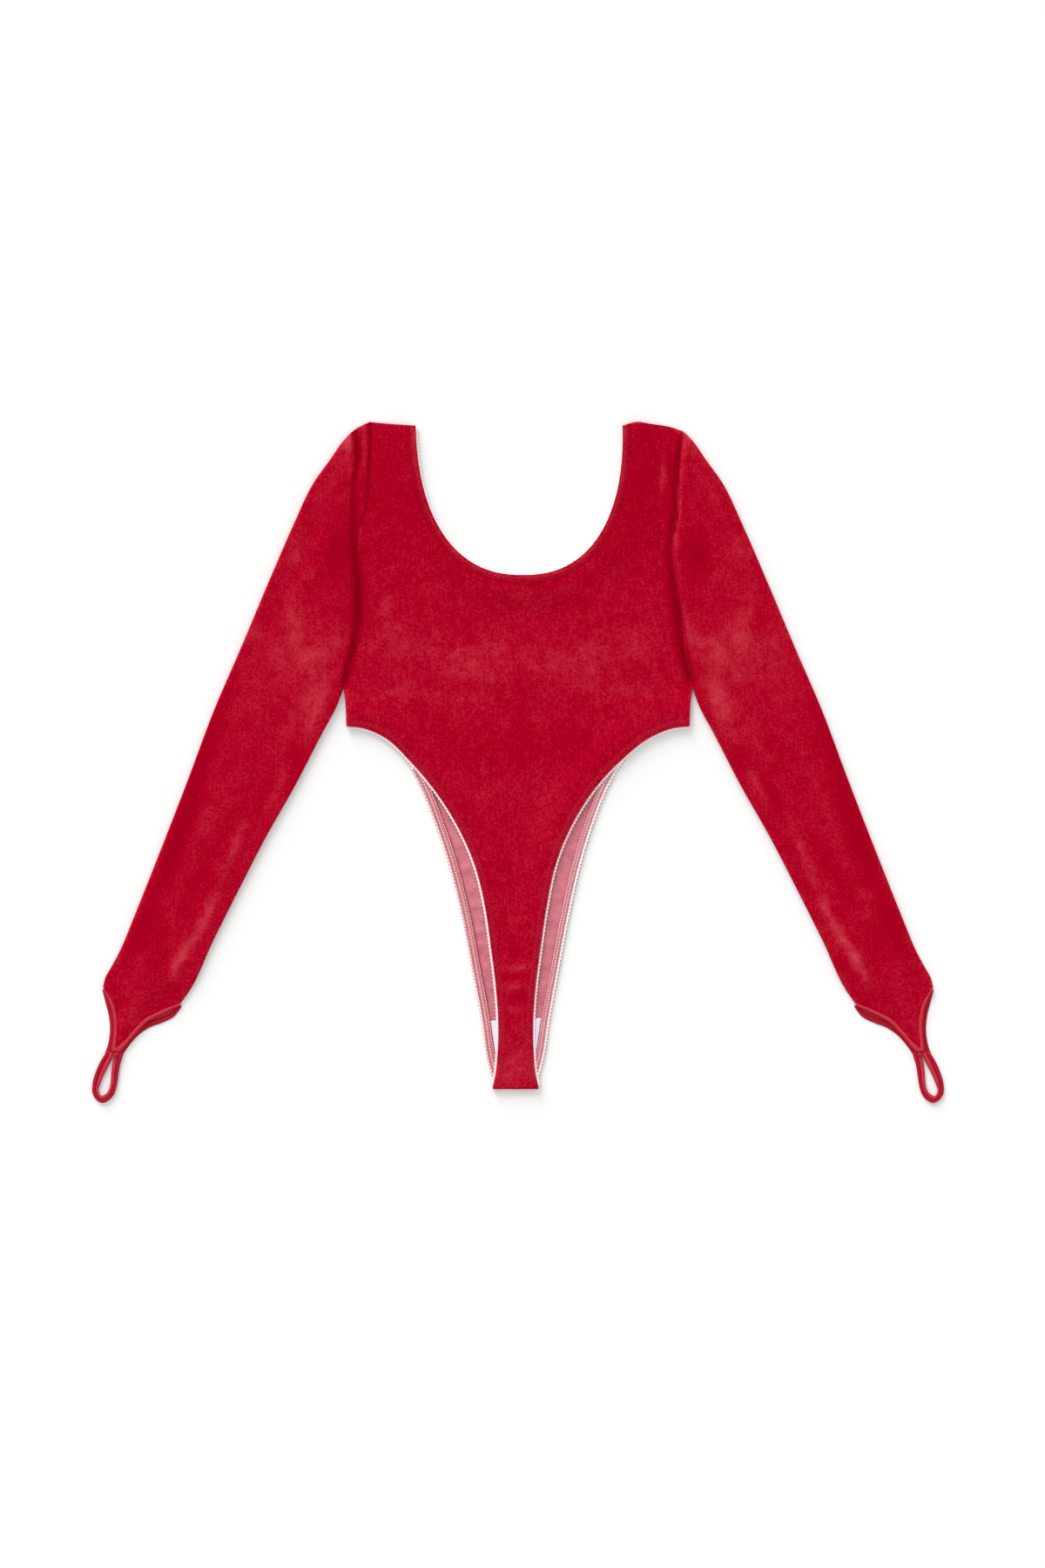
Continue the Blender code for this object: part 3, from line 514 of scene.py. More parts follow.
def trace(points, steps=24):
    """A dense smooth line through the points: a cubic in each stretch, with the slopes of its
    neighbours weighed by their lengths."""
    p = np.asarray(points, float)
    span = np.linalg.norm(np.diff(p, axis=0), axis=1)[:, None]
    slope = np.diff(p, axis=0) / span
    tangent = np.vstack([slope[:1], slope[-1:]])
    if len(p) > 2:
        inside = (slope[:-1] * span[1:] + slope[1:] * span[:-1]) / (span[1:] + span[:-1])
        tangent = np.vstack([slope[:1], inside, slope[-1:]])
    s = np.linspace(0, 1, steps, endpoint=False)[None, :, None]
    a, b, ta, tb, gap = (x[:, None] for x in (p[:-1], p[1:], tangent[:-1], tangent[1:], span))
    line = ((2 * s**3 - 3 * s**2 + 1) * a + (s**3 - 2 * s**2 + s) * gap * ta
            + (3 * s**2 - 2 * s**3) * b + (s**3 - s**2) * gap * tb)
    return measured(np.vstack([line.reshape(-1, 2), p[-1:]]))


def at(traced, fractions):
    """Points of a traced line at fractions of its length, in the shape of the fractions."""
    line, along = traced
    return np.stack([np.interp(fractions, along, line[:, k]) for k in range(line.shape[1])], axis=-1)


def shifted(line, distance):
    """A line moved to its right-hand side by a distance, square to its run."""
    run = np.gradient(line, axis=0)
    run /= np.linalg.norm(run, axis=1)[:, None]
    return line + distance * np.stack([run[:, 1], -run[:, 0]], axis=1)


def beside(traced, fractions, aside):
    """Points of a traced line at fractions of its length, each moved to the right-hand side of the
    line's run by its own distance."""
    line, along = traced
    square = (shifted(line, 1.0) - line, along)
    return at(traced, fractions) + np.asarray(aside)[..., None] * at(square, fractions)


def centre_x(y):
    """Where the middle of the body lies at a height y."""
    table = np.array(LEAN)[::-1]
    return np.interp(y, table[:, 0], table[:, 1])


def mirrored(half_widths, side):
    """A table of half widths as points on one side of the leaning middle line."""
    table = np.asarray(half_widths, float)
    widest = table[:, 0].max()
    lean = centre_x(table[:, 1]) * smooth_step(LEAN_FADE * (1 - table[:, 0] / widest))
    return np.stack([SIGN[side] * table[:, 0] + lean, table[:, 1]], axis=1)


def outwards(points, side):
    """A table of points with x outwards from the middle, on one side."""
    return np.asarray(points, float) * np.array([SIGN[side], 1.0])


def neck_line(side, grow=0.0):
    """The neck from the shoulder down to its lowest point, by its rounded U."""
    a = NECK_HALF_WIDTH + grow
    b = NECK_DEPTH + grow
    start = math.asin((FIRST_BELOW_NECK_TOP / b) ** (NECK_SQUARENESS / 2))
    turn = np.linspace(start, math.pi / 2, LINE_POINTS)
    depth = b * np.sin(turn) ** (2 / NECK_SQUARENESS)
    across = a * np.clip(np.cos(turn), 0, 1) ** (2 / NECK_SQUARENESS)
    y = NECK_TOP_Y - depth
    return measured(np.stack([SIGN[side] * across + centre_x(y), y], axis=1))


def leg_line(side, table, end_y):
    """A leg edge from the side seam down to a height."""
    line = trace(mirrored(table, side))[0]
    kept = np.count_nonzero(line[:, 1] > end_y)
    if kept < len(line):
        part = (line[kept - 1, 1] - end_y) / (line[kept - 1, 1] - line[kept, 1])
        end = line[kept - 1] + part * (line[kept] - line[kept - 1])
        line = np.vstack([line[:kept], end])
    return measured(line)


def distance_to(lines, points):
    """How far each point lies in plan from the nearest of the lines."""
    flat = points.reshape(-1, 2)
    near = np.full(len(flat), np.inf)
    for line in lines:
        gaps = (flat[:, None, 0] - line[:, 0]) ** 2 + (flat[:, None, 1] - line[:, 1]) ** 2
        near = np.minimum(near, gaps.min(1))
    return np.sqrt(near).reshape(points.shape[:-1])


def ridge(distance, middle, width, height):
    """A long mark beside a line: a bell across it, of a given height at its middle distance."""
    return height * np.exp(-(((distance - middle) / width) ** 2))


def bells(plan, table):
    """Sum of soft marks at points in plan: each falls off as a bell along and across."""
    total = np.zeros(plan.shape[:-1])
    for x, y, half_length, half_width, turn, amount in table:
        angle = math.radians(turn)
        dx = plan[..., 0] - x
        dy = plan[..., 1] - y
        along = (dx * math.cos(angle) + dy * math.sin(angle)) / half_length
        aside = (dy * math.cos(angle) - dx * math.sin(angle)) / half_width
        total += amount * np.exp(-(along**2) - aside**2)
    return total


def stations(size, step, first=True, last=True):
    """Fractions along a length: close ones beside each free end, and even ones between."""
    near = np.array(EDGE_STATIONS) / size
    start = near if first else np.zeros(1)
    end = 1 - near[::-1] if last else np.ones(1)
    count = max(2, int(round((end[0] - start[-1]) * size / step)))
    return np.concatenate([start, np.linspace(start[-1], end[0], count + 1)[1:-1], end])


def rounded(distance, half):
    """Share of the wall at a distance from a free edge: a half circle."""
    inside = np.clip(distance / half, 0, 1)
    return np.sqrt(np.clip(1 - (1 - inside) ** 2, 0, 1))


def run_distance(grid, axis, start, end):
    """Distance of each point along one direction of a grid to its free first and last lines."""
    step = np.linalg.norm(np.diff(grid, axis=axis), axis=-1)
    zero = np.zeros_like(np.take(step, [0], axis=axis))
    run = np.concatenate([zero, np.cumsum(step, axis=axis)], axis=axis)
    total = np.take(run, [-1], axis=axis)
    near = np.full(run.shape, np.inf)
    if start:
        near = np.minimum(near, run)
    if end:
        near = np.minimum(near, total - run)
    return near


def facing(grid, closed=False):
    """Unit directions square to a grid, up where its rows run down and its columns to the right."""
    if closed:
        across = (np.roll(grid, -1, axis=1) - np.roll(grid, 1, axis=1)) / 2
    else:
        across = np.gradient(grid, axis=1)
    square = np.cross(np.gradient(grid, axis=0), across)
    return square / np.maximum(np.linalg.norm(square, axis=-1, keepdims=True), 1e-9)


def with_height(plan, height):
    """Points in plan with their heights."""
    height = np.broadcast_to(height, plan.shape[:-1])
    return np.concatenate([plan, height[..., None]], axis=-1)


def grid_faces(rows, columns, closed, start):
    """Corner numbers of the four-sided faces of a grid whose points are numbered row by row."""
    index = np.arange(rows * columns).reshape(rows, columns) + start
    if closed:
        index = np.concatenate([index, index[:, :1]], axis=1)
    corners = [index[:-1, :-1], index[:-1, 1:], index[1:, 1:], index[1:, :-1]]
    return np.stack(corners, axis=-1).reshape(-1, 4)


def put(name, parts, finishes):
    """One object from parts. A part is a grid of points in mm, whether it closes on itself across,
    the number of its finish, and a value for its nap, painted shade and painted highlight, and its run
    at each point. Points that coincide are merged, and all faces are turned outwards."""
    points, faces, slots, nap_and_shade_values, runs = [], [], [], [], []
    start = 0
    for grid, closed, slot, nap_and_shade, run in parts:
        rows, columns = grid.shape[:2]
        quads = grid_faces(rows, columns, closed, start)
        points.append(grid.reshape(-1, 3))
        faces.append(quads)
        slots.append(np.full(len(quads), slot))
        nap_and_shade_values.append(np.broadcast_to(nap_and_shade, (rows, columns)).ravel())
        runs.append(np.broadcast_to(run, (rows, columns, 3)).reshape(-1, 3))
        start += rows * columns
    mesh = bpy.data.meshes.new(name)
    mesh.from_pydata((np.vstack(points) - MIDDLE) * MM, [], np.vstack(faces).tolist())
    mesh.polygons.foreach_set("material_index", np.concatenate(slots).astype(np.int32))
    mesh.attributes.new("nap_and_shade", "FLOAT", "POINT").data.foreach_set(
        "value", np.concatenate(nap_and_shade_values).astype(np.float32))
    mesh.attributes.new("run", "FLOAT_VECTOR", "POINT").data.foreach_set(
        "vector", (np.vstack(runs) * MM).astype(np.float32).ravel())
    bm = bmesh.new()
    bm.from_mesh(mesh)
    bmesh.ops.remove_doubles(bm, verts=bm.verts, dist=MERGE * MM)
    bmesh.ops.recalc_face_normals(bm, faces=bm.faces)
    bm.to_mesh(mesh)
    bm.free()
    mesh.shade_smooth()
    for finish in finishes:
        mesh.materials.append(finish)
    piece = bpy.data.objects.new(name, mesh)
    bpy.context.scene.collection.objects.link(piece)
    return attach(piece, "root")


def walls(grid, square, half, slots, nap_and_shade, run=0.0, closed=False):
    """The two faces of a sheet: its grid moved both ways along its directions by half its wall."""
    aside = square * np.asarray(half)[..., None]
    return [(grid + aside, closed, slots[0], nap_and_shade, run), (grid - aside, closed, slots[1], nap_and_shade, run)]


def panel_plan(inner, outer, columns):
    """Rows of points from the outer edge to the inner one: close stations beside both edges and
    even ones between."""
    width = np.linalg.norm(inner - outer, axis=1)[:, None]
    near = np.array(EDGE_STATIONS) / width
    even = np.linspace(0, 1, columns)[1:-1]
    middle = near[:, -1:] + (1 - 2 * near[:, -1:]) * even
    across = np.concatenate([near, middle, 1 - near[:, ::-1]], axis=1)[..., None]
    return outer[:, None] + across * (inner - outer)[:, None]


def armhole_line(side, out):
    """The armhole seam's line moved outwards from the body, with how far along each point lies."""
    line, along = trace(ARMHOLE[side])
    return shifted(line, -SIGN[side] * out), along


def body_edges(side, leg, leg_end_y, step, neck_grow, last_free):
    """Matching points of one half of the body: the neck and then the middle line, and the armhole,
    side and leg edge. Also gives the row of the neck's lowest point."""
    armhole = armhole_line(side, -SEAM_GAP / 2)
    rows = stations(SEAM_LENGTH, step, last=False)
    flank_line = trace(mirrored(SIDE, side))
    flank = stations(SIDE_LENGTH, step, first=False, last=False)[1:]
    thigh_line = leg_line(side, leg, leg_end_y)
    thigh = stations(LEG_LENGTH, step, first=False, last=last_free)[1:]
    outer = np.vstack([at(armhole, rows), at(flank_line, flank), at(thigh_line, thigh)])
    neck = at(neck_line(side, neck_grow), rows)
    y = np.concatenate([neck[-1, 1] + (WAIST_Y - neck[-1, 1]) * flank,
                        WAIST_Y + (leg_end_y - WAIST_Y) * thigh])
    inner = np.vstack([neck, np.stack([centre_x(y), y], axis=1)])
    return inner, outer, len(rows) - 1


def shape_shoulder(plan, side):
    """Bring the first row of a panel onto the shoulder seam's line. The move fades out down the
    next rows."""
    share = np.linalg.norm(plan[0] - plan[0, -1], axis=1)
    share = share / share.max()
    move = at(trace(SHOULDER[side]), share) - plan[0]
    move -= share[:, None] * move[0]
    fade = 1 - smooth_step(run_distance(plan, 0, True, False) / SHOULDER_FADE)
    return plan + fade[..., None] * move


def edge_distance(grid, neck_row):
    """Distance of each point of half a panel from its free edges. The middle line is none."""
    across = run_distance(grid, 1, True, False)
    neck = run_distance(grid, 1, False, True)
    neck[neck_row + 1:] = np.inf
    down = run_distance(grid, 0, True, True)
    return np.minimum(np.minimum(across, neck), down)


def joined(grids, neck_row):
    """The directions of a panel's two halves, made the same along the middle line."""
    left, right = (facing(grid) for grid in grids)
    shared = left[neck_row:, -1] + right[neck_row:, 0]
    shared /= np.linalg.norm(shared, axis=-1, keepdims=True)
    left[neck_row:, -1] = shared
    right[neck_row:, 0] = shared
    return left, right


def front_height(plan):
    """Height of the front's middle: it rests on the back, rises over the elastic at neck and leg
    edges, and has the body's soft rises, the gusset's creases and a groove under its stitches."""
    legs = [leg_line(side, FRONT_LEG, FRONT_END_Y)[0] for side in SIGN]
    necks = [neck_line(side)[0] for side in SIGN]
    seams = [trace(ARMHOLE[side])[0] for side in SIGN]
    seams += [trace(mirrored(SIDE, side))[0] for side in SIGN]
    leg = distance_to(legs, plan)
    neck = distance_to(necks, plan)
    lift = 1 - smooth_step((np.minimum(leg, neck) - RIM_FLAT) / (RIM_FADE - RIM_FLAT))
    ease = smooth_step(distance_to(seams, plan) / RIM_FLAT)
    height = SEAM_Z + lift * (FRONT_RIM_Z - SEAM_Z) + (1 - lift) * ease * bells(plan, BODY_RELIEF)
    height += bells(plan, GUSSET_CREASES) * smooth_step(leg / FRONT_CREASE_FADE)
    return height - (ridge(leg, *LEG_GROOVE) + ridge(neck, *NECK_GROOVE))


def painted_line_shade(plan):
    """Painted shade and highlight of the lines beside the armholes: each falls off as a bell aside,
    with the width and the strength of its nearest point."""
    flat = plan.reshape(-1, 2)
    total = np.zeros(len(flat))
    for table in SHADE_AND_HIGHLIGHT_LINES:
        points = np.array(table)
        line = trace(points[:, :2])[0]
        knots = np.linspace(0, len(line) - 1, len(points))
        width, strength = (np.interp(np.arange(len(line)), knots, points[:, k]) for k in (2, 3))
        low = line.min(0) - SHADE_LINE_REACH
        high = line.max(0) + SHADE_LINE_REACH
        near = np.flatnonzero(((flat > low) & (flat < high)).all(1))
        if len(near):
            gaps = ((flat[near][:, None] - line) ** 2).sum(-1)
            best = gaps.argmin(1)
            total[near] += strength[best] * np.exp(-gaps.min(1) / width[best] ** 2)
    return total.reshape(plan.shape[:-1])


def neck_highlight_and_shade(plan):
    """Painted light of the front along its neck: a painted highlight over the roll of the elastic, and
    painted shade along the needle line below it."""
    neck = distance_to([neck_line(side)[0] for side in SIGN], plan)
    return sum(ridge(neck, *mark) for mark in NECK_HIGHLIGHT_AND_SHADE)


def turned_under(last_row):
    """Rows that go on from the last one round a half circle and back along the surface."""
    radius = (last_row[:, 2] - BACK_Z) / 2
    centre_y = CROTCH_Y + VELVET / 2 + radius
    angle = np.linspace(0, math.pi, TURN_STEPS + 1)[1:, None]
    y = centre_y - radius * np.sin(angle)
    z = BACK_Z + radius * (1 + np.cos(angle))
    arc = np.stack([np.broadcast_to(last_row[:, 0], y.shape), y, z], axis=-1)
    back = stations(FLAP_LENGTH, FLAP_STEP, first=False)[1:, None]
    end_y = CROTCH_Y + TURN_UNDER
    flap_y = arc[-1, :, 1] + (end_y - arc[-1, :, 1]) * back
    flap = np.stack([np.broadcast_to(last_row[:, 0], flap_y.shape), flap_y,
                     np.full(flap_y.shape, BACK_Z)], axis=-1)
    return np.vstack([arc, flap])


def panel(name, leg, end_y, neck_grow, height_of, step, columns, fold, slots, finishes):
    """A body panel in two halves that share the middle line: a plan, its heights, a wall rounded
    off at the free edges, and where it is folded its turned rows."""
    grids = []
    for side in SIGN:
        inner, outer, neck_row = body_edges(side, leg, end_y, step, neck_grow, not fold)
        plan = panel_plan(inner, outer, columns)
        plan = shape_shoulder(plan, side)
        grid = with_height(plan, height_of(plan))
        if fold:
            grid = np.vstack([grid, turned_under(grid[-1])])
        grids.append(grid)
    free = [edge_distance(grid, neck_row) for grid in grids]
    grids[1] = grids[1][:, ::-1]
    free[1] = free[1][:, ::-1]
    parts = []
    for grid, square, edge in zip(grids, joined(grids, neck_row), free):
        half = VELVET / 2 * rounded(edge, VELVET / 2)
        # Brushed patches, with painted highlight and shade: on the gusset's creases, beside the
        # armholes, at every free edge and, on the front, over the neck's roll and along its needle
        # line
        nap_and_shade = bells(grid[..., :2], BODY_NAP_AND_SHADE) + painted_line_shade(grid[..., :2])
        nap_and_shade += ridge(edge, *EDGE_HIGHLIGHT)
        if fold:
            nap_and_shade += neck_highlight_and_shade(grid[..., :2])
        parts += walls(grid, square, half, slots, nap_and_shade)
    return put(name, parts, finishes)


def back_height(plan):
    """Height of the back's middle: flat on the surface, but for soft creases between its edges."""
    legs = [leg_line(side, BACK_LEG, BACK_END_Y)[0] for side in SIGN]
    ease = smooth_step((distance_to(legs, plan) - ELASTIC_WIDTH) / BACK_CREASE_FADE)
    low = smooth_step((BACK_CREASE_TOP - plan[..., 1]) / BACK_CREASE_TOP_FADE)
    rise = np.clip(BACK_CREASE_GAIN * bells(plan, BACK_CREASES), 0, BACK_CREASE_LIMIT)
    return BACK_Z + ease * low * rise


def cuff_points(halves, side, across):
    """Points of a pointed cuff edge: its outer half up to the point's column, then its inner."""
    outer, inner = (trace(outwards(half, side)) for half in halves)
    first = at(outer, np.clip(across / POINT_COLUMN, 0, 1))
    second = at(inner, np.clip((across - POINT_COLUMN) / (1 - POINT_COLUMN), 0, 1))
    return np.where((across <= POINT_COLUMN)[..., None], first, second)


def sleeve_edges(side, along):
    """The middle of the wall at a sleeve's two folds, half a wall inside its outline."""
    outer = trace(outwards(CAP[side] + OUTER_EDGE, side))
    inner = trace(outwards(INNER_EDGE, side))
    inside = np.full(len(along), SIGN[side] * VELVET / 2)
    return beside(outer, along, inside), beside(inner, along, -inside)


def sleeve_plan(side, layer, across, along):
    """A layer of a sleeve in plan: its four edges blended, the armhole into the cuff and the outer
    fold into the inner one."""
    u = across[..., None]
    v = along[:, None, None]
    seam = armhole_line(side, SEAM_GAP / 2)
    ends = smooth_step((seam[1] - LAST_COLUMN) / (1 - LAST_COLUMN))
    seam = armhole_line(side, SEAM_GAP / 2 + VELVET / 2 * ends[:, None])
    armhole = at(seam, across)
    cuff = cuff_points(CUFF_VELVET[layer], side, across)
    outer, inner = (edge[:, None] for edge in sleeve_edges(side, along))
    start = (1 - u) * seam[0][0] + u * seam[0][-1]
    end = (1 - u) * outer[-1] + u * inner[-1]
    flat = (1 - v) * start + v * end
    return (1 - v) * armhole + v * cuff + (1 - u) * outer + u * inner - flat


def sleeve_relief(side, across, along):
    """Height of the folds along a sleeve: a bell across, rising and falling at its two ends."""
    height = np.zeros(across.shape)
    for sides, place, width, start, end, rise in SLEEVE_RELIEF:
        if sides in ("both", side):
            ends = smooth_step((along - start) / FOLD_END) * smooth_step((end - along) / FOLD_END)
            height += ridge(across, place, width, rise * ends[:, None])
    return height


def sleeve_columns(radius, width):
    """Places across a layer of a sleeve from fold to fold, and the share of the fold's radius by
    which each lies off the middle: a quarter circle at each fold and even places between."""
    turn = np.linspace(0, math.pi / 2, FOLD_POINTS)
    near = radius[:, None] * (1 - np.cos(turn)) / width[:, None]
    even = np.linspace(0, 1, SLEEVE_COLUMNS)[1:-1]
    middle = near[:, -1:] + (1 - 2 * near[:, -1:]) * even
    across = np.concatenate([near, middle, 1 - near[:, ::-1]], axis=1)
    bend = np.concatenate([np.sin(turn), np.ones(len(even)), np.sin(turn)[::-1]])
    return across, bend


def ring_of(upper, under):
    """One closed ring in each row: the upper layer's columns and the under layer's back again."""
    return np.concatenate([upper, under[:, -2:0:-1]], axis=1)


def sleeve_ring(side, across, along, radius, bend, away):
    """The middle of a sleeve's wall: a flat under layer, a round fold along each edge, and an upper
    layer with the long folds and, on the left, the sunken line beside the armhole."""
    centre = BACK_Z + radius[:, None]
    plan = sleeve_plan(side, "top", across, along)
    valley = distance_to([trace(np.array(LEFT_VALLEY)[:, :2])[0]], plan)
    folds = sleeve_relief(side, across, along) * away[:, None] * bend**4
    trough = ridge(valley, *TROUGH) * away[:, None] * bend**4
    upper = with_height(plan, centre + radius[:, None] * bend + folds - trough)
    under = with_height(sleeve_plan(side, "under", across, along), centre - radius[:, None] * bend)
    return ring_of(upper, under)


def sleeve(side, sizes, finishes):
    """A flattened tube of cloth that lies low along the armhole seam and at the cuff, with the pile
    turned in inside the cuff."""
    along = stations(ARM_LENGTH, sizes.sleeve_step / MM)
    level = LEVEL_START / ARM_LENGTH
    away = smooth_step((along - level) * ARM_LENGTH / SEAM_RISE[side])
    away = away * smooth_step((1 - along) * ARM_LENGTH / CUFF_FALL)
    radius = FLAT_RADIUS + (FOLD_RADIUS - FLAT_RADIUS) * away
    outer, inner = sleeve_edges(side, along)
    width = np.linalg.norm(outer - inner, axis=1)
    across, bend = sleeve_columns(radius, width)
    ring = sleeve_ring(side, across, along, radius, bend, away)
    square = -SIGN[side] * facing(ring, closed=True)
    half = VELVET / 2 * rounded(run_distance(ring, 0, True, True), VELVET / 2)
    plan = ring[..., :2]
    # Brushed patches, with painted highlights along the long folds and beside the two edge folds, and
    # painted shade and highlight beside the armhole
    fold = ridge(np.minimum(np.abs(across), np.abs(1 - across)) * width[:, None], *FOLD_HIGHLIGHT)
    nap_and_shade = bells(outwards(plan, side), SLEEVE_NAP_AND_SHADE) + ring_of(fold, fold) + painted_line_shade(plan)
    outside, inside = walls(ring, square, half, (0, 1), nap_and_shade, closed=True)
    bound = np.count_nonzero((1 - along) * ARM_LENGTH > CUFF_FACING)
    face = inside[0]
    parts = [outside, (face[:bound], True, 1, 0.0, 0.0), (face[bound - 1:], True, 0, 1.0, 0.0)]
    return put(f"sleeve_{side}_velvet", parts, finishes)


def upwards(grid):
    """Directions straight up, one for each point of a grid."""
    return np.broadcast_to((0.0, 0.0, 1.0), grid.shape)


def band(traced, fractions, start, end, profile, height, half_wall):
    """A tape between two distances beside a line. The profile gives, for each place across, its
    share of the half wall; the tape thins out at its two ends."""
    place, share = np.array(profile).T
    start = np.broadcast_to(start, fractions.shape)
    end = np.broadcast_to(end, fractions.shape)
    aside = start[:, None] + (end - start)[:, None] * place
    steps = np.broadcast_to(fractions[:, None], aside.shape)
    plan = beside(traced, steps, aside)
    grid = with_height(plan, height)
    ends = rounded(run_distance(grid, 0, True, True), half_wall)
    half = half_wall * ends * share
    run = np.stack([steps * reach(traced[0]), aside, np.zeros_like(aside)], axis=-1)
    return walls(grid, upwards(grid), half, (0, 0), 0.0, run)


# Cross-section of the elastic from its plain edge to its frilled one (place across, share of the
# half wall): a flat band, a thin web and a corded edge
ELASTIC_PROFILE = ((0.0, 0.0), (0.015, 0.7), (0.05, 1.0), (0.2, 0.95), (0.4, 1.0), (0.6, 0.95),
                   (0.70, 1.0), (0.74, 0.7), (0.78, 0.75), (0.81, 1.0), (0.94, 1.05), (0.97, 0.9),
                   (0.99, 0.6), (1.0, 0.0))


def scallops(run):
    """How far the frilled edge stands out along its run: a row of rounded tips."""
    return PICOT_DEPTH * (np.abs(np.sin(math.pi * run / PICOT_PITCH)) ** PICOT_BLUNTNESS - 0.5)


def leg_elastic(side, layer, table, height, sizes, finish):
    """Elastic inside a leg edge, with its frilled edge towards the leg."""
    line = leg_line(side, table, TRIM_END_Y)
    size = reach(line[0])
    fractions = stations(size, sizes.trim_step / MM)
    frill = LEG_FRILL[layer] - PICOT_DEPTH / 2 + scallops(fractions * size)
    outer = -SIGN[side] * frill
    inner = SIGN[side] * (ELASTIC_WIDTH - LEG_FRILL[layer])
    parts = band(line, fractions, inner, outer, ELASTIC_PROFILE, height, TAPE / 2)
    return put(f"leg_elastic_{side}_{layer}_picot", parts, [finish])


def neck_elastic(layer, grow, height, sizes, finish):
    """Elastic inside a neck edge, in one piece from shoulder to shoulder, with its frilled edge
    towards the neck."""
    left = neck_line("left", grow)[0]
    right = neck_line("right", grow)[0][::-1][1:]
    line = measured(np.vstack([left, right]))
    size = reach(line[0])
    fractions = NECK_TRIM_START / 2 + (1 - NECK_TRIM_START) * stations(size, sizes.trim_step / MM)
    first, last = NECK_FRILL[layer]
    frill = grow + first + (last - first) * fractions
    edge = frill - PICOT_DEPTH / 2 + scallops(fractions * size)
    parts = band(line, fractions, ELASTIC_WIDTH - frill, -edge, ELASTIC_PROFILE, height, TAPE / 2)
    return put(f"neck_elastic_{layer}_picot", parts, [finish])


def gusset_lining(finish):
    """White jersey on the inside of the back between the two leg elastics, a little wrinkled."""
    edges = []
    rows = stations(LINING_LENGTH, LINING_STEP)
    for side in SIGN:
        leg = leg_line(side, BACK_LEG, TRIM_END_Y)[0]
        leg = shifted(leg, SIGN[side] * (ELASTIC_WIDTH + GAP))
        y = LINING_TOP[side] + (TRIM_END_Y - LINING_TOP[side]) * rows
        x = np.interp(y, leg[::-1, 1], leg[::-1, 0])
        edges.append(np.stack([x, y], axis=1))
    plan = panel_plan(edges[1], edges[0], LINING_COLUMNS)
    free = np.minimum(run_distance(plan, 1, True, True), run_distance(plan, 0, True, True))
    ease = smooth_step(free / LINING_FADE)
    ripple = RIPPLE_DEPTH * np.sin(plan[..., 1] / RIPPLE_SCALE + RIPPLE_LEAN * plan[..., 0]) * ease
    grid = with_height(plan, BACK_TRIM_Z + LINING_LIFT * ease + ripple)
    half = TAPE / 2 * rounded(free, TAPE / 2)
    return put("gusset_lining_jersey", walls(grid, facing(grid), half, (0, 0), 0.0), [finish])


# Cross-section of the binding from the velvet outwards, and of the loop from its outline to its
# hole (place across, share of the half wall, lightness): two rolls with a crease between them. The
# lightness is painted light: a painted highlight on the rolls, painted shade in the crease, the
# under layer's binding painted darker all over as in shade, and the loop's outer strip painted
# darker than its inner one
BINDING_PROFILE = ((0.0, 0.2, 0.0), (0.04, 0.5, 0.4), (0.1, 0.8, 0.85), (0.22, 1.0, 0.95),
                   (0.42, 1.0, 0.95), (0.6, 0.9, 0.9), (0.68, 0.7, 0.7), (0.73, 0.5, 0.0),
                   (0.78, 0.6, 0.2), (0.86, 0.7, 0.4), (0.95, 0.5, 0.3), (1.0, 0.0, 0.2))
UNDER_PROFILE = ((0.0, 0.4, 0.2), (0.1, 0.8, 0.2), (0.3, 1.0, 0.35), (0.6, 1.0, 0.5),
                 (0.8, 0.85, 0.45), (0.95, 0.5, 0.25), (1.0, 0.0, 0.1))
LOOP_PROFILE = ((0.0, 0.0, 0.1), (0.01, 0.35, 0.2), (0.05, 0.62, 0.3), (0.14, 0.84, 0.42),
                (0.28, 0.84, 0.45), (0.4, 0.62, 0.3), (0.46, 0.36, 0.0), (0.52, 0.62, 0.6),
                (0.64, 0.94, 0.95), (0.8, 1.0, 0.95), (0.92, 0.72, 0.75), (0.98, 0.4, 0.4),
                (1.0, 0.0, 0.2))


def closing(grid, square, half, light, run):
    """The narrow faces that close a tape's two ends and its first long edge."""
    parts = []
    for rows in (np.s_[:1], np.s_[-1:]):
        aside = square[rows] * half[rows][..., None]
        wall = np.concatenate([grid[rows] + aside, grid[rows] - aside])
        parts.append((wall, False, 0, light, np.repeat(run[rows], 2, axis=0)))
    aside = square[:, :1] * half[:, :1, None]
    wall = np.concatenate([grid[:, :1] + aside, grid[:, :1] - aside], axis=1)
    parts.append((wall, False, 0, light[0], np.repeat(run[:, :1], 2, axis=1)))
    return parts


def tape_between(name, first, second, profile, height, half_wall, finish):
    """A tape between two lines with matching points, with its cross-section's profile and the
    lightness of each of its strips, which is painted highlight and painted shade."""
    place, share, light = np.array(profile).T
    plan = first[:, None] + (second - first)[:, None] * place[:, None]
    grid = with_height(plan, height)
    ends = np.clip(rounded(run_distance(grid, 0, True, True), half_wall), BLUNT_END, 1.0)
    along = run_distance(grid, 0, True, False)
    aside = np.broadcast_to(place * BINDING_WIDTH, along.shape)
    run = np.stack([along, aside, np.zeros_like(along)], axis=-1)
    half = half_wall * ends * share
    parts = walls(grid, upwards(grid), half, (0, 0), np.broadcast_to(light, along.shape), run)
    parts += closing(grid, upwards(grid), half, light, run)
    return put(name, parts, [finish])


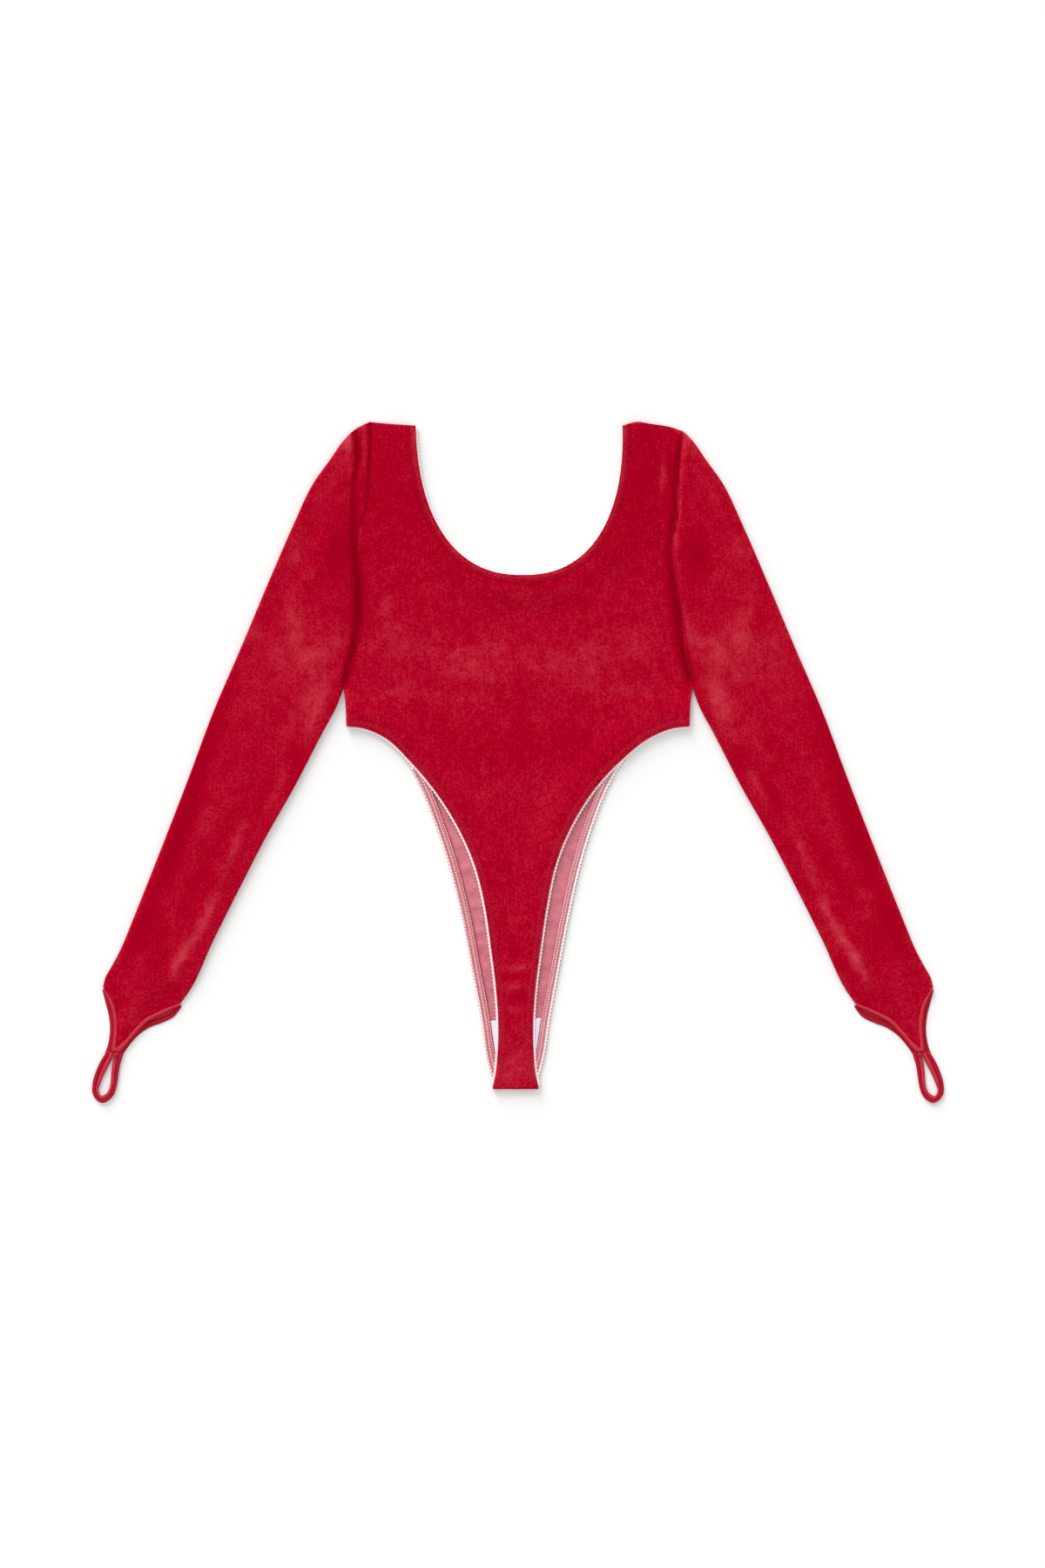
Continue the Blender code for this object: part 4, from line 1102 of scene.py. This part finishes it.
def cuff_binding(side, layer, height, thickness, sizes, finish):
    """Binding round the pointed edge of one layer of a cuff."""
    across = stations(CUFF_LENGTH, sizes.trim_step / MM * BINDING_SPACING)
    across = BINDING_START + (1 - 2 * BINDING_START) * across
    velvet = shifted(cuff_points(CUFF_VELVET[layer], side, across), -SIGN[side] * CUFF_GAP)
    outline = cuff_points(CUFF_BINDING[layer], side, across)
    profile = BINDING_PROFILE if layer == "top" else UNDER_PROFILE
    return tape_between(f"cuff_binding_{side}_{layer}_rolled", velvet, outline, profile, height,
                        thickness / 2, finish)


def finger_loop(side, sizes, finish):
    """A folded tape that leaves the cuff's point, rounds a tear-shaped hole and comes back."""
    fractions = stations(LOOP_LENGTH, sizes.trim_step / MM * BINDING_SPACING)
    under = np.array([0.0, LOOP_UNDER])
    lines = []
    for table in (LOOP_OUTLINE, LOOP_HOLE):
        line = at(trace(outwards(table, side)), fractions)
        lines.append(np.vstack([line[:1] + under, line, line[-1:] + under]))
    outline, hole = lines
    return tape_between(f"finger_loop_{side}_tape", outline, hole, LOOP_PROFILE, LOOP_HEIGHT / 2,
                        LOOP_HEIGHT / 2, finish)


def thread_part(path, radius, dark=0.0):
    """A round thread along a path: rings of points square to its run, drawn to a point at both
    ends."""
    run = np.gradient(path, axis=0)
    run /= np.linalg.norm(run, axis=1, keepdims=True)
    side = np.cross(run, (0.0, 0.0, 1.0))
    side /= np.linalg.norm(side, axis=1, keepdims=True)
    up = np.cross(side, run)
    turn = np.linspace(0, 2 * math.pi, THREAD_SIDES, endpoint=False)[None, :, None]
    ring = path[:, None] + radius * (np.cos(turn) * side[:, None] + np.sin(turn) * up[:, None])
    first = np.repeat(path[:1, None], THREAD_SIDES, axis=1)
    last = np.repeat(path[-1:, None], THREAD_SIDES, axis=1)
    grid = np.concatenate([first, ring, last])
    return grid, True, 0, dark, 0.0


def zigzag(traced, covered, middle, swing, pitch, height_of, phase=0.0):
    """A zigzag path beside a line, over a share of its length: it swings evenly both ways about its
    middle distance, and each stroke bows up between its two needle holes."""
    start, end = covered
    size = reach(traced[0])
    count = int((end - start) * size / pitch * POINTS_PER_ZIGZAG)
    fractions = np.linspace(start, end, count)
    turn = fractions * size / pitch + phase
    sway = 4 * np.abs(turn - np.floor(turn + 0.5)) - 1
    plan = beside(traced, fractions, middle + swing * sway)
    return with_height(plan, height_of(plan) + STROKE_BOW * (1 - sway**2))


def front_face(plan):
    """Height of the front's outer face."""
    return front_height(plan) + VELVET / 2


def front_stitches(side):
    """The rows of zigzag along one leg and one half of the neck, on the front."""
    out = SIGN[side]
    edges = ((leg_line(side, FRONT_LEG, FRONT_END_Y), LEG_RUN, out, LEG_ROWS),
             (neck_line(side), NECK_RUN, -out, NECK_ROWS))
    parts = []
    for line, covered, sign, rows in edges:
        for middle, swing, phase, dark in rows:
            path = zigzag(line, covered, sign * middle, swing, FRONT_PITCH, front_face, phase)
            parts.append(thread_part(path, THREAD_RADIUS * FRONT_THREAD, dark))
    return parts


def elastic_stitches(side):
    """The lattice on the elastic behind one leg opening, two zigzags that cross, and the line of
    thread along the elastic's inner edge."""
    line = leg_line(side, BACK_LEG, TRIM_END_Y)
    out = SIGN[side]
    middle, swing = LATTICE[side]
    parts = []
    for phase in (0.0, 0.5):
        path = zigzag(line, ELASTIC_RUN, out * middle, swing, LATTICE_PITCH,
                      lambda plan: BACK_TRIM_Z + TAPE / 2, phase)
        parts.append(thread_part(path, THREAD_RADIUS * LATTICE_THREAD))
    # The line along the inner edge is dark and thick: a thread that also paints the shade at that edge
    path = zigzag(line, ELASTIC_RUN, out * (ELASTIC_WIDTH - INNER_INSET), INNER_SWING, ZIGZAG_PITCH,
                  lambda plan: BACK_TRIM_Z + INNER_HEIGHT)
    parts.append(thread_part(path, THREAD_RADIUS * INNER_THREAD[side], INNER_DARKNESS_AND_SHADE))
    return parts


def bar_tacks(side):
    """Short rows of thread across a finger loop, each bowed up over it."""
    share = np.linspace(-1, 1, BAR_POINTS)
    height = LOOP_HEIGHT + BAR_LIFT + BAR_BOW * (1 - share**2)
    parts = []
    for y, x, half in BAR_TACKS:
        path = np.stack([SIGN[side] * (x + half * share), np.full(BAR_POINTS, y), height], axis=1)
        parts.append(thread_part(path, THREAD_RADIUS * BAR_THREAD, BAR_DARKNESS))
    return parts


def add(tree, kind, values=(), links=(), **settings):
    """Add a node with its settings, the values of its sockets and the links into them."""
    node = tree.nodes.new(kind)
    for name, value in settings.items():
        setattr(node, name, value)
    for socket, value in dict(values).items():
        node.inputs[socket].default_value = value
    for socket, source in dict(links).items():
        tree.links.new(source, node.inputs[socket])
    return node


def blank(name, **values):
    """A new material, its node tree and its shader, with values on the shader's own sockets."""
    material = bpy.data.materials.new(name)
    material.use_nodes = True
    tree = material.node_tree
    shader = tree.nodes["Principled BSDF"]
    for socket, value in values.items():
        shader.inputs[socket.replace("_", " ")].default_value = value
    return material, tree, shader


def rgba(value, share=1.0):
    """A colour property with full alpha, made darker or lighter by a share."""
    return (*(min(1.0, c * share) for c in value), 1.0)


def pile_tones(tree, shader, colours, tone, middle, top, light):
    """Colour of a pile: deep at tone 0, the cloth's own at a middle tone, and light at the top."""
    low = add(tree, "ShaderNodeMapRange", {1: 0.0, 2: middle}, {0: tone})
    high = add(tree, "ShaderNodeMapRange", {1: middle, 2: top}, {0: tone})
    dark = add(tree, "ShaderNodeMix", {6: rgba(colours.pile_deep), 7: rgba(colours.pile_mid)},
               {0: low.outputs[0]}, data_type="RGBA")
    pale = add(tree, "ShaderNodeMix", {7: rgba(light)}, {0: high.outputs[0], 6: dark.outputs[2]},
               data_type="RGBA")
    tree.links.new(pale.outputs[2], shader.inputs["Base Color"])


def knitted(tree, shader, tone, deep, light, height, strength, depth):
    """Colour and relief of a knit or a weave: deep to light by its tone, raised by its height."""
    mixed = add(tree, "ShaderNodeMix", {6: deep, 7: light}, {0: tone}, data_type="RGBA")
    tree.links.new(mixed.outputs[2], shader.inputs["Base Color"])
    bump = add(tree, "ShaderNodeBump", {"Strength": strength, "Distance": depth}, {"Height": height})
    tree.links.new(bump.outputs[0], shader.inputs["Normal"])


def velvet(sizes, colours):
    """Stretch velvet: a short dense pile cut from a knit ground. It is dark where the eye looks down
    into it and pale where it is brushed flat or turns away, so it has a soft sheen, no gloss,
    soft brushed patches and a fine grain of tufts. Its tone also carries painted shade in valleys
    and creases and painted highlights on rolled edges and folds, read from the point values. The
    tufts, really 0.3 mm, are drawn coarser so that they show."""
    material, tree, shader = blank("stretch velvet, short pile", Roughness=0.88,
                                   Specular_IOR_Level=0.0, Sheen_Weight=0.22, Sheen_Roughness=0.4,
                                   Sheen_Tint=(1.0, 0.06, 0.16, 1.0))
    place = add(tree, "ShaderNodeTexCoord").outputs["Object"]
    nap_and_shade = add(tree, "ShaderNodeAttribute", attribute_name="nap_and_shade").outputs["Fac"]
    mottle = add(tree, "ShaderNodeTexNoise", {"Scale": 1 / sizes.mottle, "Detail": 6.0,
                 "Roughness": 0.78, "Distortion": 0.4}, {"Vector": place}).outputs["Fac"]
    grain = add(tree, "ShaderNodeTexNoise", {"Scale": 1 / sizes.pile, "Detail": 3.0,
                "Roughness": 0.7}, {"Vector": place}).outputs["Fac"]
    stretch = add(tree, "ShaderNodeMapping", {"Scale": (1.0, 0.16, 1.0)}, {"Vector": place})
    streak = add(tree, "ShaderNodeTexNoise", {"Scale": 1 / sizes.pile, "Detail": 2.0},
                 {"Vector": stretch.outputs[0]}).outputs["Fac"]
    # The mottle breaks the even marks of the nap, painted shade and painted highlight up into ragged
    # patches, and then each pattern adds its own share of light and dark
    ragged = add(tree, "ShaderNodeMath", {1: 3.2 * sizes.nap_and_shade, 2: -0.6 * sizes.nap_and_shade}, {0: mottle},
                 operation="MULTIPLY_ADD")
    tone = add(tree, "ShaderNodeMath", {2: 0.5}, {0: nap_and_shade, 1: ragged.outputs[0]},
               operation="MULTIPLY_ADD").outputs[0]
    for pattern, weight in ((mottle, 0.42), (grain, 0.8), (streak, 0.2)):
        centred = add(tree, "ShaderNodeMath", {1: -0.5}, {0: pattern}, operation="ADD")
        tone = add(tree, "ShaderNodeMath", {1: weight}, {0: centred.outputs[0], 2: tone},
                   operation="MULTIPLY_ADD").outputs[0]
    pile_tones(tree, shader, colours, tone, 0.5, 1.0, colours.pile_light)
    bump = add(tree, "ShaderNodeBump", {"Strength": 0.35, "Distance": 0.0005}, {"Height": grain})
    tree.links.new(bump.outputs[0], shader.inputs["Normal"])
    return material


def knit_reverse(sizes, colours):
    """The velvet's back: a fine plain knit in the ground yarn, paler than the pile and flat, with
    its courses running across. The courses, really 0.6 mm, are drawn coarser so that they show."""
    material, tree, shader = blank("stretch velvet, knit reverse", Roughness=0.8,
                                   Specular_IOR_Level=0.25, Sheen_Weight=0.1)
    place = add(tree, "ShaderNodeTexCoord").outputs["Object"]
    courses = add(tree, "ShaderNodeTexWave", {"Scale": BAND / sizes.course, "Distortion": 1.2,
                  "Detail": 2.0, "Detail Scale": 2.0}, {"Vector": place}, bands_direction="Y")
    cloud = add(tree, "ShaderNodeTexNoise", {"Scale": 1 / (sizes.mottle * 0.5), "Detail": 5.0},
                {"Vector": place})
    both = add(tree, "ShaderNodeMath", {1: 0.2}, {0: courses.outputs["Fac"], 2: cloud.outputs["Fac"]},
               operation="MULTIPLY_ADD")
    tone = add(tree, "ShaderNodeMapRange", {1: 0.3, 2: 0.9}, {0: both.outputs[0]})
    knitted(tree, shader, tone.outputs[0], rgba(colours.knit, 0.74), rgba(colours.knit, 1.2),
            courses.outputs["Fac"], 0.4, 0.0003)
    return material


def cotton_jersey(sizes, colours):
    """Cotton jersey: a thin white knit, matt, with fine ribs along it and a cool cast."""
    material, tree, shader = blank("cotton jersey, white", Roughness=0.9, Specular_IOR_Level=0.2,
                                   Sheen_Weight=0.05)
    place = add(tree, "ShaderNodeTexCoord").outputs["Object"]
    ribs = add(tree, "ShaderNodeTexWave", {"Scale": BAND / sizes.course, "Distortion": 0.8},
               {"Vector": place}, bands_direction="X").outputs["Fac"]
    knitted(tree, shader, ribs, rgba(colours.jersey, 0.82), rgba(colours.jersey), ribs, 0.3, 0.0002)
    return material


def woven_elastic(sizes, colours):
    """Frilled elastic: white nylon woven over rubber, slightly shiny, ribbed across its run."""
    material, tree, shader = blank("woven nylon elastic", Roughness=0.5, Specular_IOR_Level=0.4,
                                   Sheen_Weight=0.1)
    run = add(tree, "ShaderNodeAttribute", attribute_name="run").outputs["Vector"]
    ribs = add(tree, "ShaderNodeTexWave", {"Scale": BAND / sizes.rib, "Distortion": 0.3},
               {"Vector": run}, bands_direction="X").outputs["Fac"]
    knitted(tree, shader, ribs, rgba(colours.elastic, 0.88), rgba(colours.elastic), ribs, 0.5, 0.0003)
    return material


def sewing_thread(sizes, colours):
    """Spun polyester thread: red, matt with a faint shine, a little uneven in tone."""
    material, tree, shader = blank("spun polyester thread", Roughness=0.7, Specular_IOR_Level=0.05)
    place = add(tree, "ShaderNodeTexCoord").outputs["Object"]
    cloud = add(tree, "ShaderNodeTexNoise", {"Scale": 1 / sizes.course, "Detail": 2.0},
                {"Vector": place})
    mixed = add(tree, "ShaderNodeMix", {6: rgba(colours.thread, 0.8), 7: rgba(colours.thread)},
                {0: cloud.outputs["Fac"]}, data_type="RGBA")
    # Each part's darkness comes from its point values. On the line along the elastic's inner edge it
    # is also painted shade
    shade = add(tree, "ShaderNodeAttribute", attribute_name="nap_and_shade").outputs["Fac"]
    toned = add(tree, "ShaderNodeMix", {7: rgba(colours.pile_deep)},
                {0: shade, 6: mixed.outputs[2]}, data_type="RGBA")
    tree.links.new(toned.outputs[2], shader.inputs["Base Color"])
    return material


def folded_binding(sizes, colours):
    """Binding cut from the same velvet and pulled tight round the edge, so that its pile lies flat
    along it: paler and smoother than the cloth, with lengthwise streaks, and darker or lighter by
    the painted lightness of each strip: painted shade darkest in its crease, painted highlight on
    its rolls."""
    material, tree, shader = blank("stretch velvet, folded binding", Roughness=0.62,
                                   Specular_IOR_Level=0.1, Sheen_Weight=0.2, Sheen_Roughness=0.35,
                                   Sheen_Tint=(1.0, 0.25, 0.3, 1.0))
    run = add(tree, "ShaderNodeAttribute", attribute_name="run").outputs["Vector"]
    painted_lightness = add(tree, "ShaderNodeAttribute", attribute_name="nap_and_shade").outputs["Fac"]
    pulled = add(tree, "ShaderNodeMapping", {"Scale": (0.12, 1.0, 1.0)}, {"Vector": run})
    streak = add(tree, "ShaderNodeTexNoise", {"Scale": 1 / sizes.rib, "Detail": 3.0},
                 {"Vector": pulled.outputs[0]})
    varied = add(tree, "ShaderNodeMapRange", {1: 0.25, 2: 0.75, 3: 0.75, 4: 1.25},
                 {0: streak.outputs["Fac"]})
    tone = add(tree, "ShaderNodeMath", {}, {0: varied.outputs[0], 1: painted_lightness},
               operation="MULTIPLY")
    pile_tones(tree, shader, colours, tone.outputs[0], 0.35, 1.1, colours.binding)
    return material


def matt_card(colours):
    """A sheet of matt white card."""
    material, _, shader = blank("matt card, white", Roughness=0.95, Specular_IOR_Level=0.1)
    shader.inputs["Base Color"].default_value = rgba(colours.floor)
    return material


FINISHES = {
    "velvet": velvet,
    "knit": knit_reverse,
    "jersey": cotton_jersey,
    "elastic": woven_elastic,
    "thread": sewing_thread,
    "binding": folded_binding,
}
made = {}


def finish_of(kind):
    """The material of a kind of cloth or trim, made once."""
    scene = bpy.context.scene
    if kind not in made:
        made[kind] = FINISHES[kind](scene.leotard_sizes, scene.leotard_colours)
    return made[kind]


class LEOTARD_OT_front(bpy.types.Operator):
    """Front panel, turned under at the gusset"""
    bl_idname = "leotard.front"
    bl_label = "Front panel"

    def execute(self, context):
        sizes = context.scene.leotard_sizes
        piece = panel("front_panel_velvet", FRONT_LEG, FRONT_END_Y, 0.0, front_height,
                      sizes.panel_step / MM, FRONT_COLUMNS, True, (0, 1),
                      [finish_of("velvet"), finish_of("knit")])
        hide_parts("front_panel")
        return {"FINISHED"}


class LEOTARD_OT_back(bpy.types.Operator):
    """Back panel, cut away to a thong"""
    bl_idname = "leotard.back"
    bl_label = "Back panel"

    def execute(self, context):
        sizes = context.scene.leotard_sizes
        piece = panel("back_panel_velvet", BACK_LEG, BACK_END_Y, NECK_BACK_GROW, back_height,
                      sizes.panel_step / MM * BACK_SPACING, BACK_COLUMNS, False, (0, 1),
                      [finish_of("knit"), finish_of("velvet")])
        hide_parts("back_panel")
        return {"FINISHED"}


class LEOTARD_OT_sleeves(bpy.types.Operator):
    """The two sleeves"""
    bl_idname = "leotard.sleeves"
    bl_label = "Sleeves"

    def execute(self, context):
        finishes = [finish_of("velvet"), finish_of("knit")]
        for side in SIGN:
            piece = sleeve(side, context.scene.leotard_sizes, finishes)
            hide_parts(f"sleeve_{side}")
        return {"FINISHED"}


class LEOTARD_OT_lining(bpy.types.Operator):
    """Lining of the gusset"""
    bl_idname = "leotard.lining"
    bl_label = "Gusset lining"

    def execute(self, context):
        piece = gusset_lining(finish_of("jersey"))
        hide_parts("gusset_lining")
        return {"FINISHED"}


class LEOTARD_OT_elastics(bpy.types.Operator):
    """Frilled elastic inside the neck and leg edges"""
    bl_idname = "leotard.elastics"
    bl_label = "Elastics"

    def execute(self, context):
        sizes = context.scene.leotard_sizes
        layers = (("front", FRONT_LEG, FRONT_TRIM_Z, 0.0),
                  ("back", BACK_LEG, BACK_TRIM_Z, NECK_BACK_GROW))
        for layer, table, height, grow in layers:
            for side in SIGN:
                piece = leg_elastic(side, layer, table, height, sizes, finish_of("elastic"))
                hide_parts(f"leg_elastic_{side}_{layer}")
            piece = neck_elastic(layer, grow, height, sizes, finish_of("elastic"))
            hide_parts(f"neck_elastic_{layer}")
        return {"FINISHED"}


class LEOTARD_OT_bindings(bpy.types.Operator):
    """Rolled binding of the cuffs, and the finger loops"""
    bl_idname = "leotard.bindings"
    bl_label = "Bindings and finger loops"

    def execute(self, context):
        sizes = context.scene.leotard_sizes
        layers = (("top", TOP_BINDING_Z, BINDING), ("under", BACK_Z, VELVET))
        for side in SIGN:
            for layer, height, thickness in layers:
                piece = cuff_binding(side, layer, height, thickness, sizes, finish_of("binding"))
                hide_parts(f"cuff_binding_{side}_{layer}")
            piece = finger_loop(side, sizes, finish_of("binding"))
            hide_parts(f"finger_loop_{side}")
        return {"FINISHED"}


class LEOTARD_OT_stitches(bpy.types.Operator):
    """Zigzag stitches at neck and legs, and the bar tacks of the cuffs"""
    bl_idname = "leotard.stitches"
    bl_label = "Stitches"

    def execute(self, context):
        on_front = [part for side in SIGN for part in front_stitches(side) + bar_tacks(side)]
        on_back = [part for side in SIGN for part in elastic_stitches(side)]
        front = put("stitches_front", on_front, [finish_of("thread")])
        back = put("stitches_elastic", on_back, [finish_of("thread")])
        return {"FINISHED"}


class LEOTARD_OT_sheets(bpy.types.Operator):
    """Does nothing; no cut is stated"""
    bl_idname = "leotard.sheets"
    bl_label = "Cut sizes"

    def execute(self, context):
        return {"FINISHED"}


class LEOTARD_OT_stage(bpy.types.Operator):
    """Plain white surface, soft light and a camera straight above"""
    bl_idname = "leotard.stage"
    bl_label = "Stage"

    def execute(self, context):
        scene = context.scene
        mesh = bpy.data.meshes.new("surface")
        signs = ((-1, -1), (1, -1), (1, 1), (-1, 1))
        corners = [(x * SURFACE_HALF, y * SURFACE_HALF, 0) for x, y in signs]
        mesh.from_pydata(corners, [], [(0, 1, 2, 3)])
        mesh.materials.append(matt_card(scene.leotard_colours))
        surface = bpy.data.objects.new("surface", mesh)
        scene.collection.objects.link(surface)
        surface.location.z = -SURFACE_DROP
        world = bpy.data.worlds.new("soft daylight")
        world.use_nodes = True
        sky = world.node_tree.nodes["Background"]
        sky.inputs["Color"].default_value = (1.0, 1.0, 1.0, 1.0)
        sky.inputs["Strength"].default_value = SKY_STRENGTH
        scene.world = world
        lamp = bpy.data.lights.new("low soft window", "SUN")
        lamp.angle = LAMP_SPREAD
        lamp.energy = LAMP_STRENGTH
        light = bpy.data.objects.new("low soft window", lamp)
        scene.collection.objects.link(light)
        light.location = LAMP_PLACE
        light.rotation_mode = "QUATERNION"
        light.rotation_quaternion = (-light.location).to_track_quat("-Z", "Y")
        camera = bpy.data.cameras.new("above")
        camera.sensor_width = CAMERA_SENSOR
        camera.lens = CAMERA_LENS
        eye = bpy.data.objects.new("above", camera)
        scene.collection.objects.link(eye)
        eye.location = (*CAMERA_PLACE, VIEW_HEIGHT * CAMERA_LENS / CAMERA_SENSOR)
        scene.camera = eye
        scene.view_settings.view_transform = "Standard"
        return {"FINISHED"}


OPERATORS = (LEOTARD_OT_front, LEOTARD_OT_back, LEOTARD_OT_sleeves, LEOTARD_OT_lining,
             LEOTARD_OT_elastics, LEOTARD_OT_bindings, LEOTARD_OT_stitches, LEOTARD_OT_sheets,
             LEOTARD_OT_stage)


class LEOTARD_PT_panel(bpy.types.Panel):
    """Sizes, colours and the pieces in order"""
    bl_idname = "LEOTARD_PT_panel"
    bl_label = "Leotard"
    bl_space_type = "VIEW_3D"
    bl_region_type = "UI"
    bl_category = "Leotard"

    def draw(self, context):
        for group in (context.scene.leotard_sizes, context.scene.leotard_colours):
            box = self.layout.box()
            for name in group.bl_rna.properties.keys():
                if name not in ("rna_type", "name"):
                    box.prop(group, name)
        for operator in OPERATORS:
            self.layout.operator(operator.bl_idname)


CLASSES = (LeotardSizes, LeotardColours, *OPERATORS, LEOTARD_PT_panel)


def register():
    """Make the classes and properties known."""
    for item in CLASSES:
        bpy.utils.register_class(item)
    bpy.types.Scene.leotard_sizes = bpy.props.PointerProperty(type=LeotardSizes)
    bpy.types.Scene.leotard_colours = bpy.props.PointerProperty(type=LeotardColours)


def unregister():
    """Take the classes and properties away again."""
    del bpy.types.Scene.leotard_colours
    del bpy.types.Scene.leotard_sizes
    for item in reversed(CLASSES):
        bpy.utils.unregister_class(item)


def main():
    """Build every piece and the stage."""
    register()
    for operator in OPERATORS:
        group, name = operator.bl_idname.split(".")
        getattr(getattr(bpy.ops, group), name)()


if __name__ == "__main__":
    main()
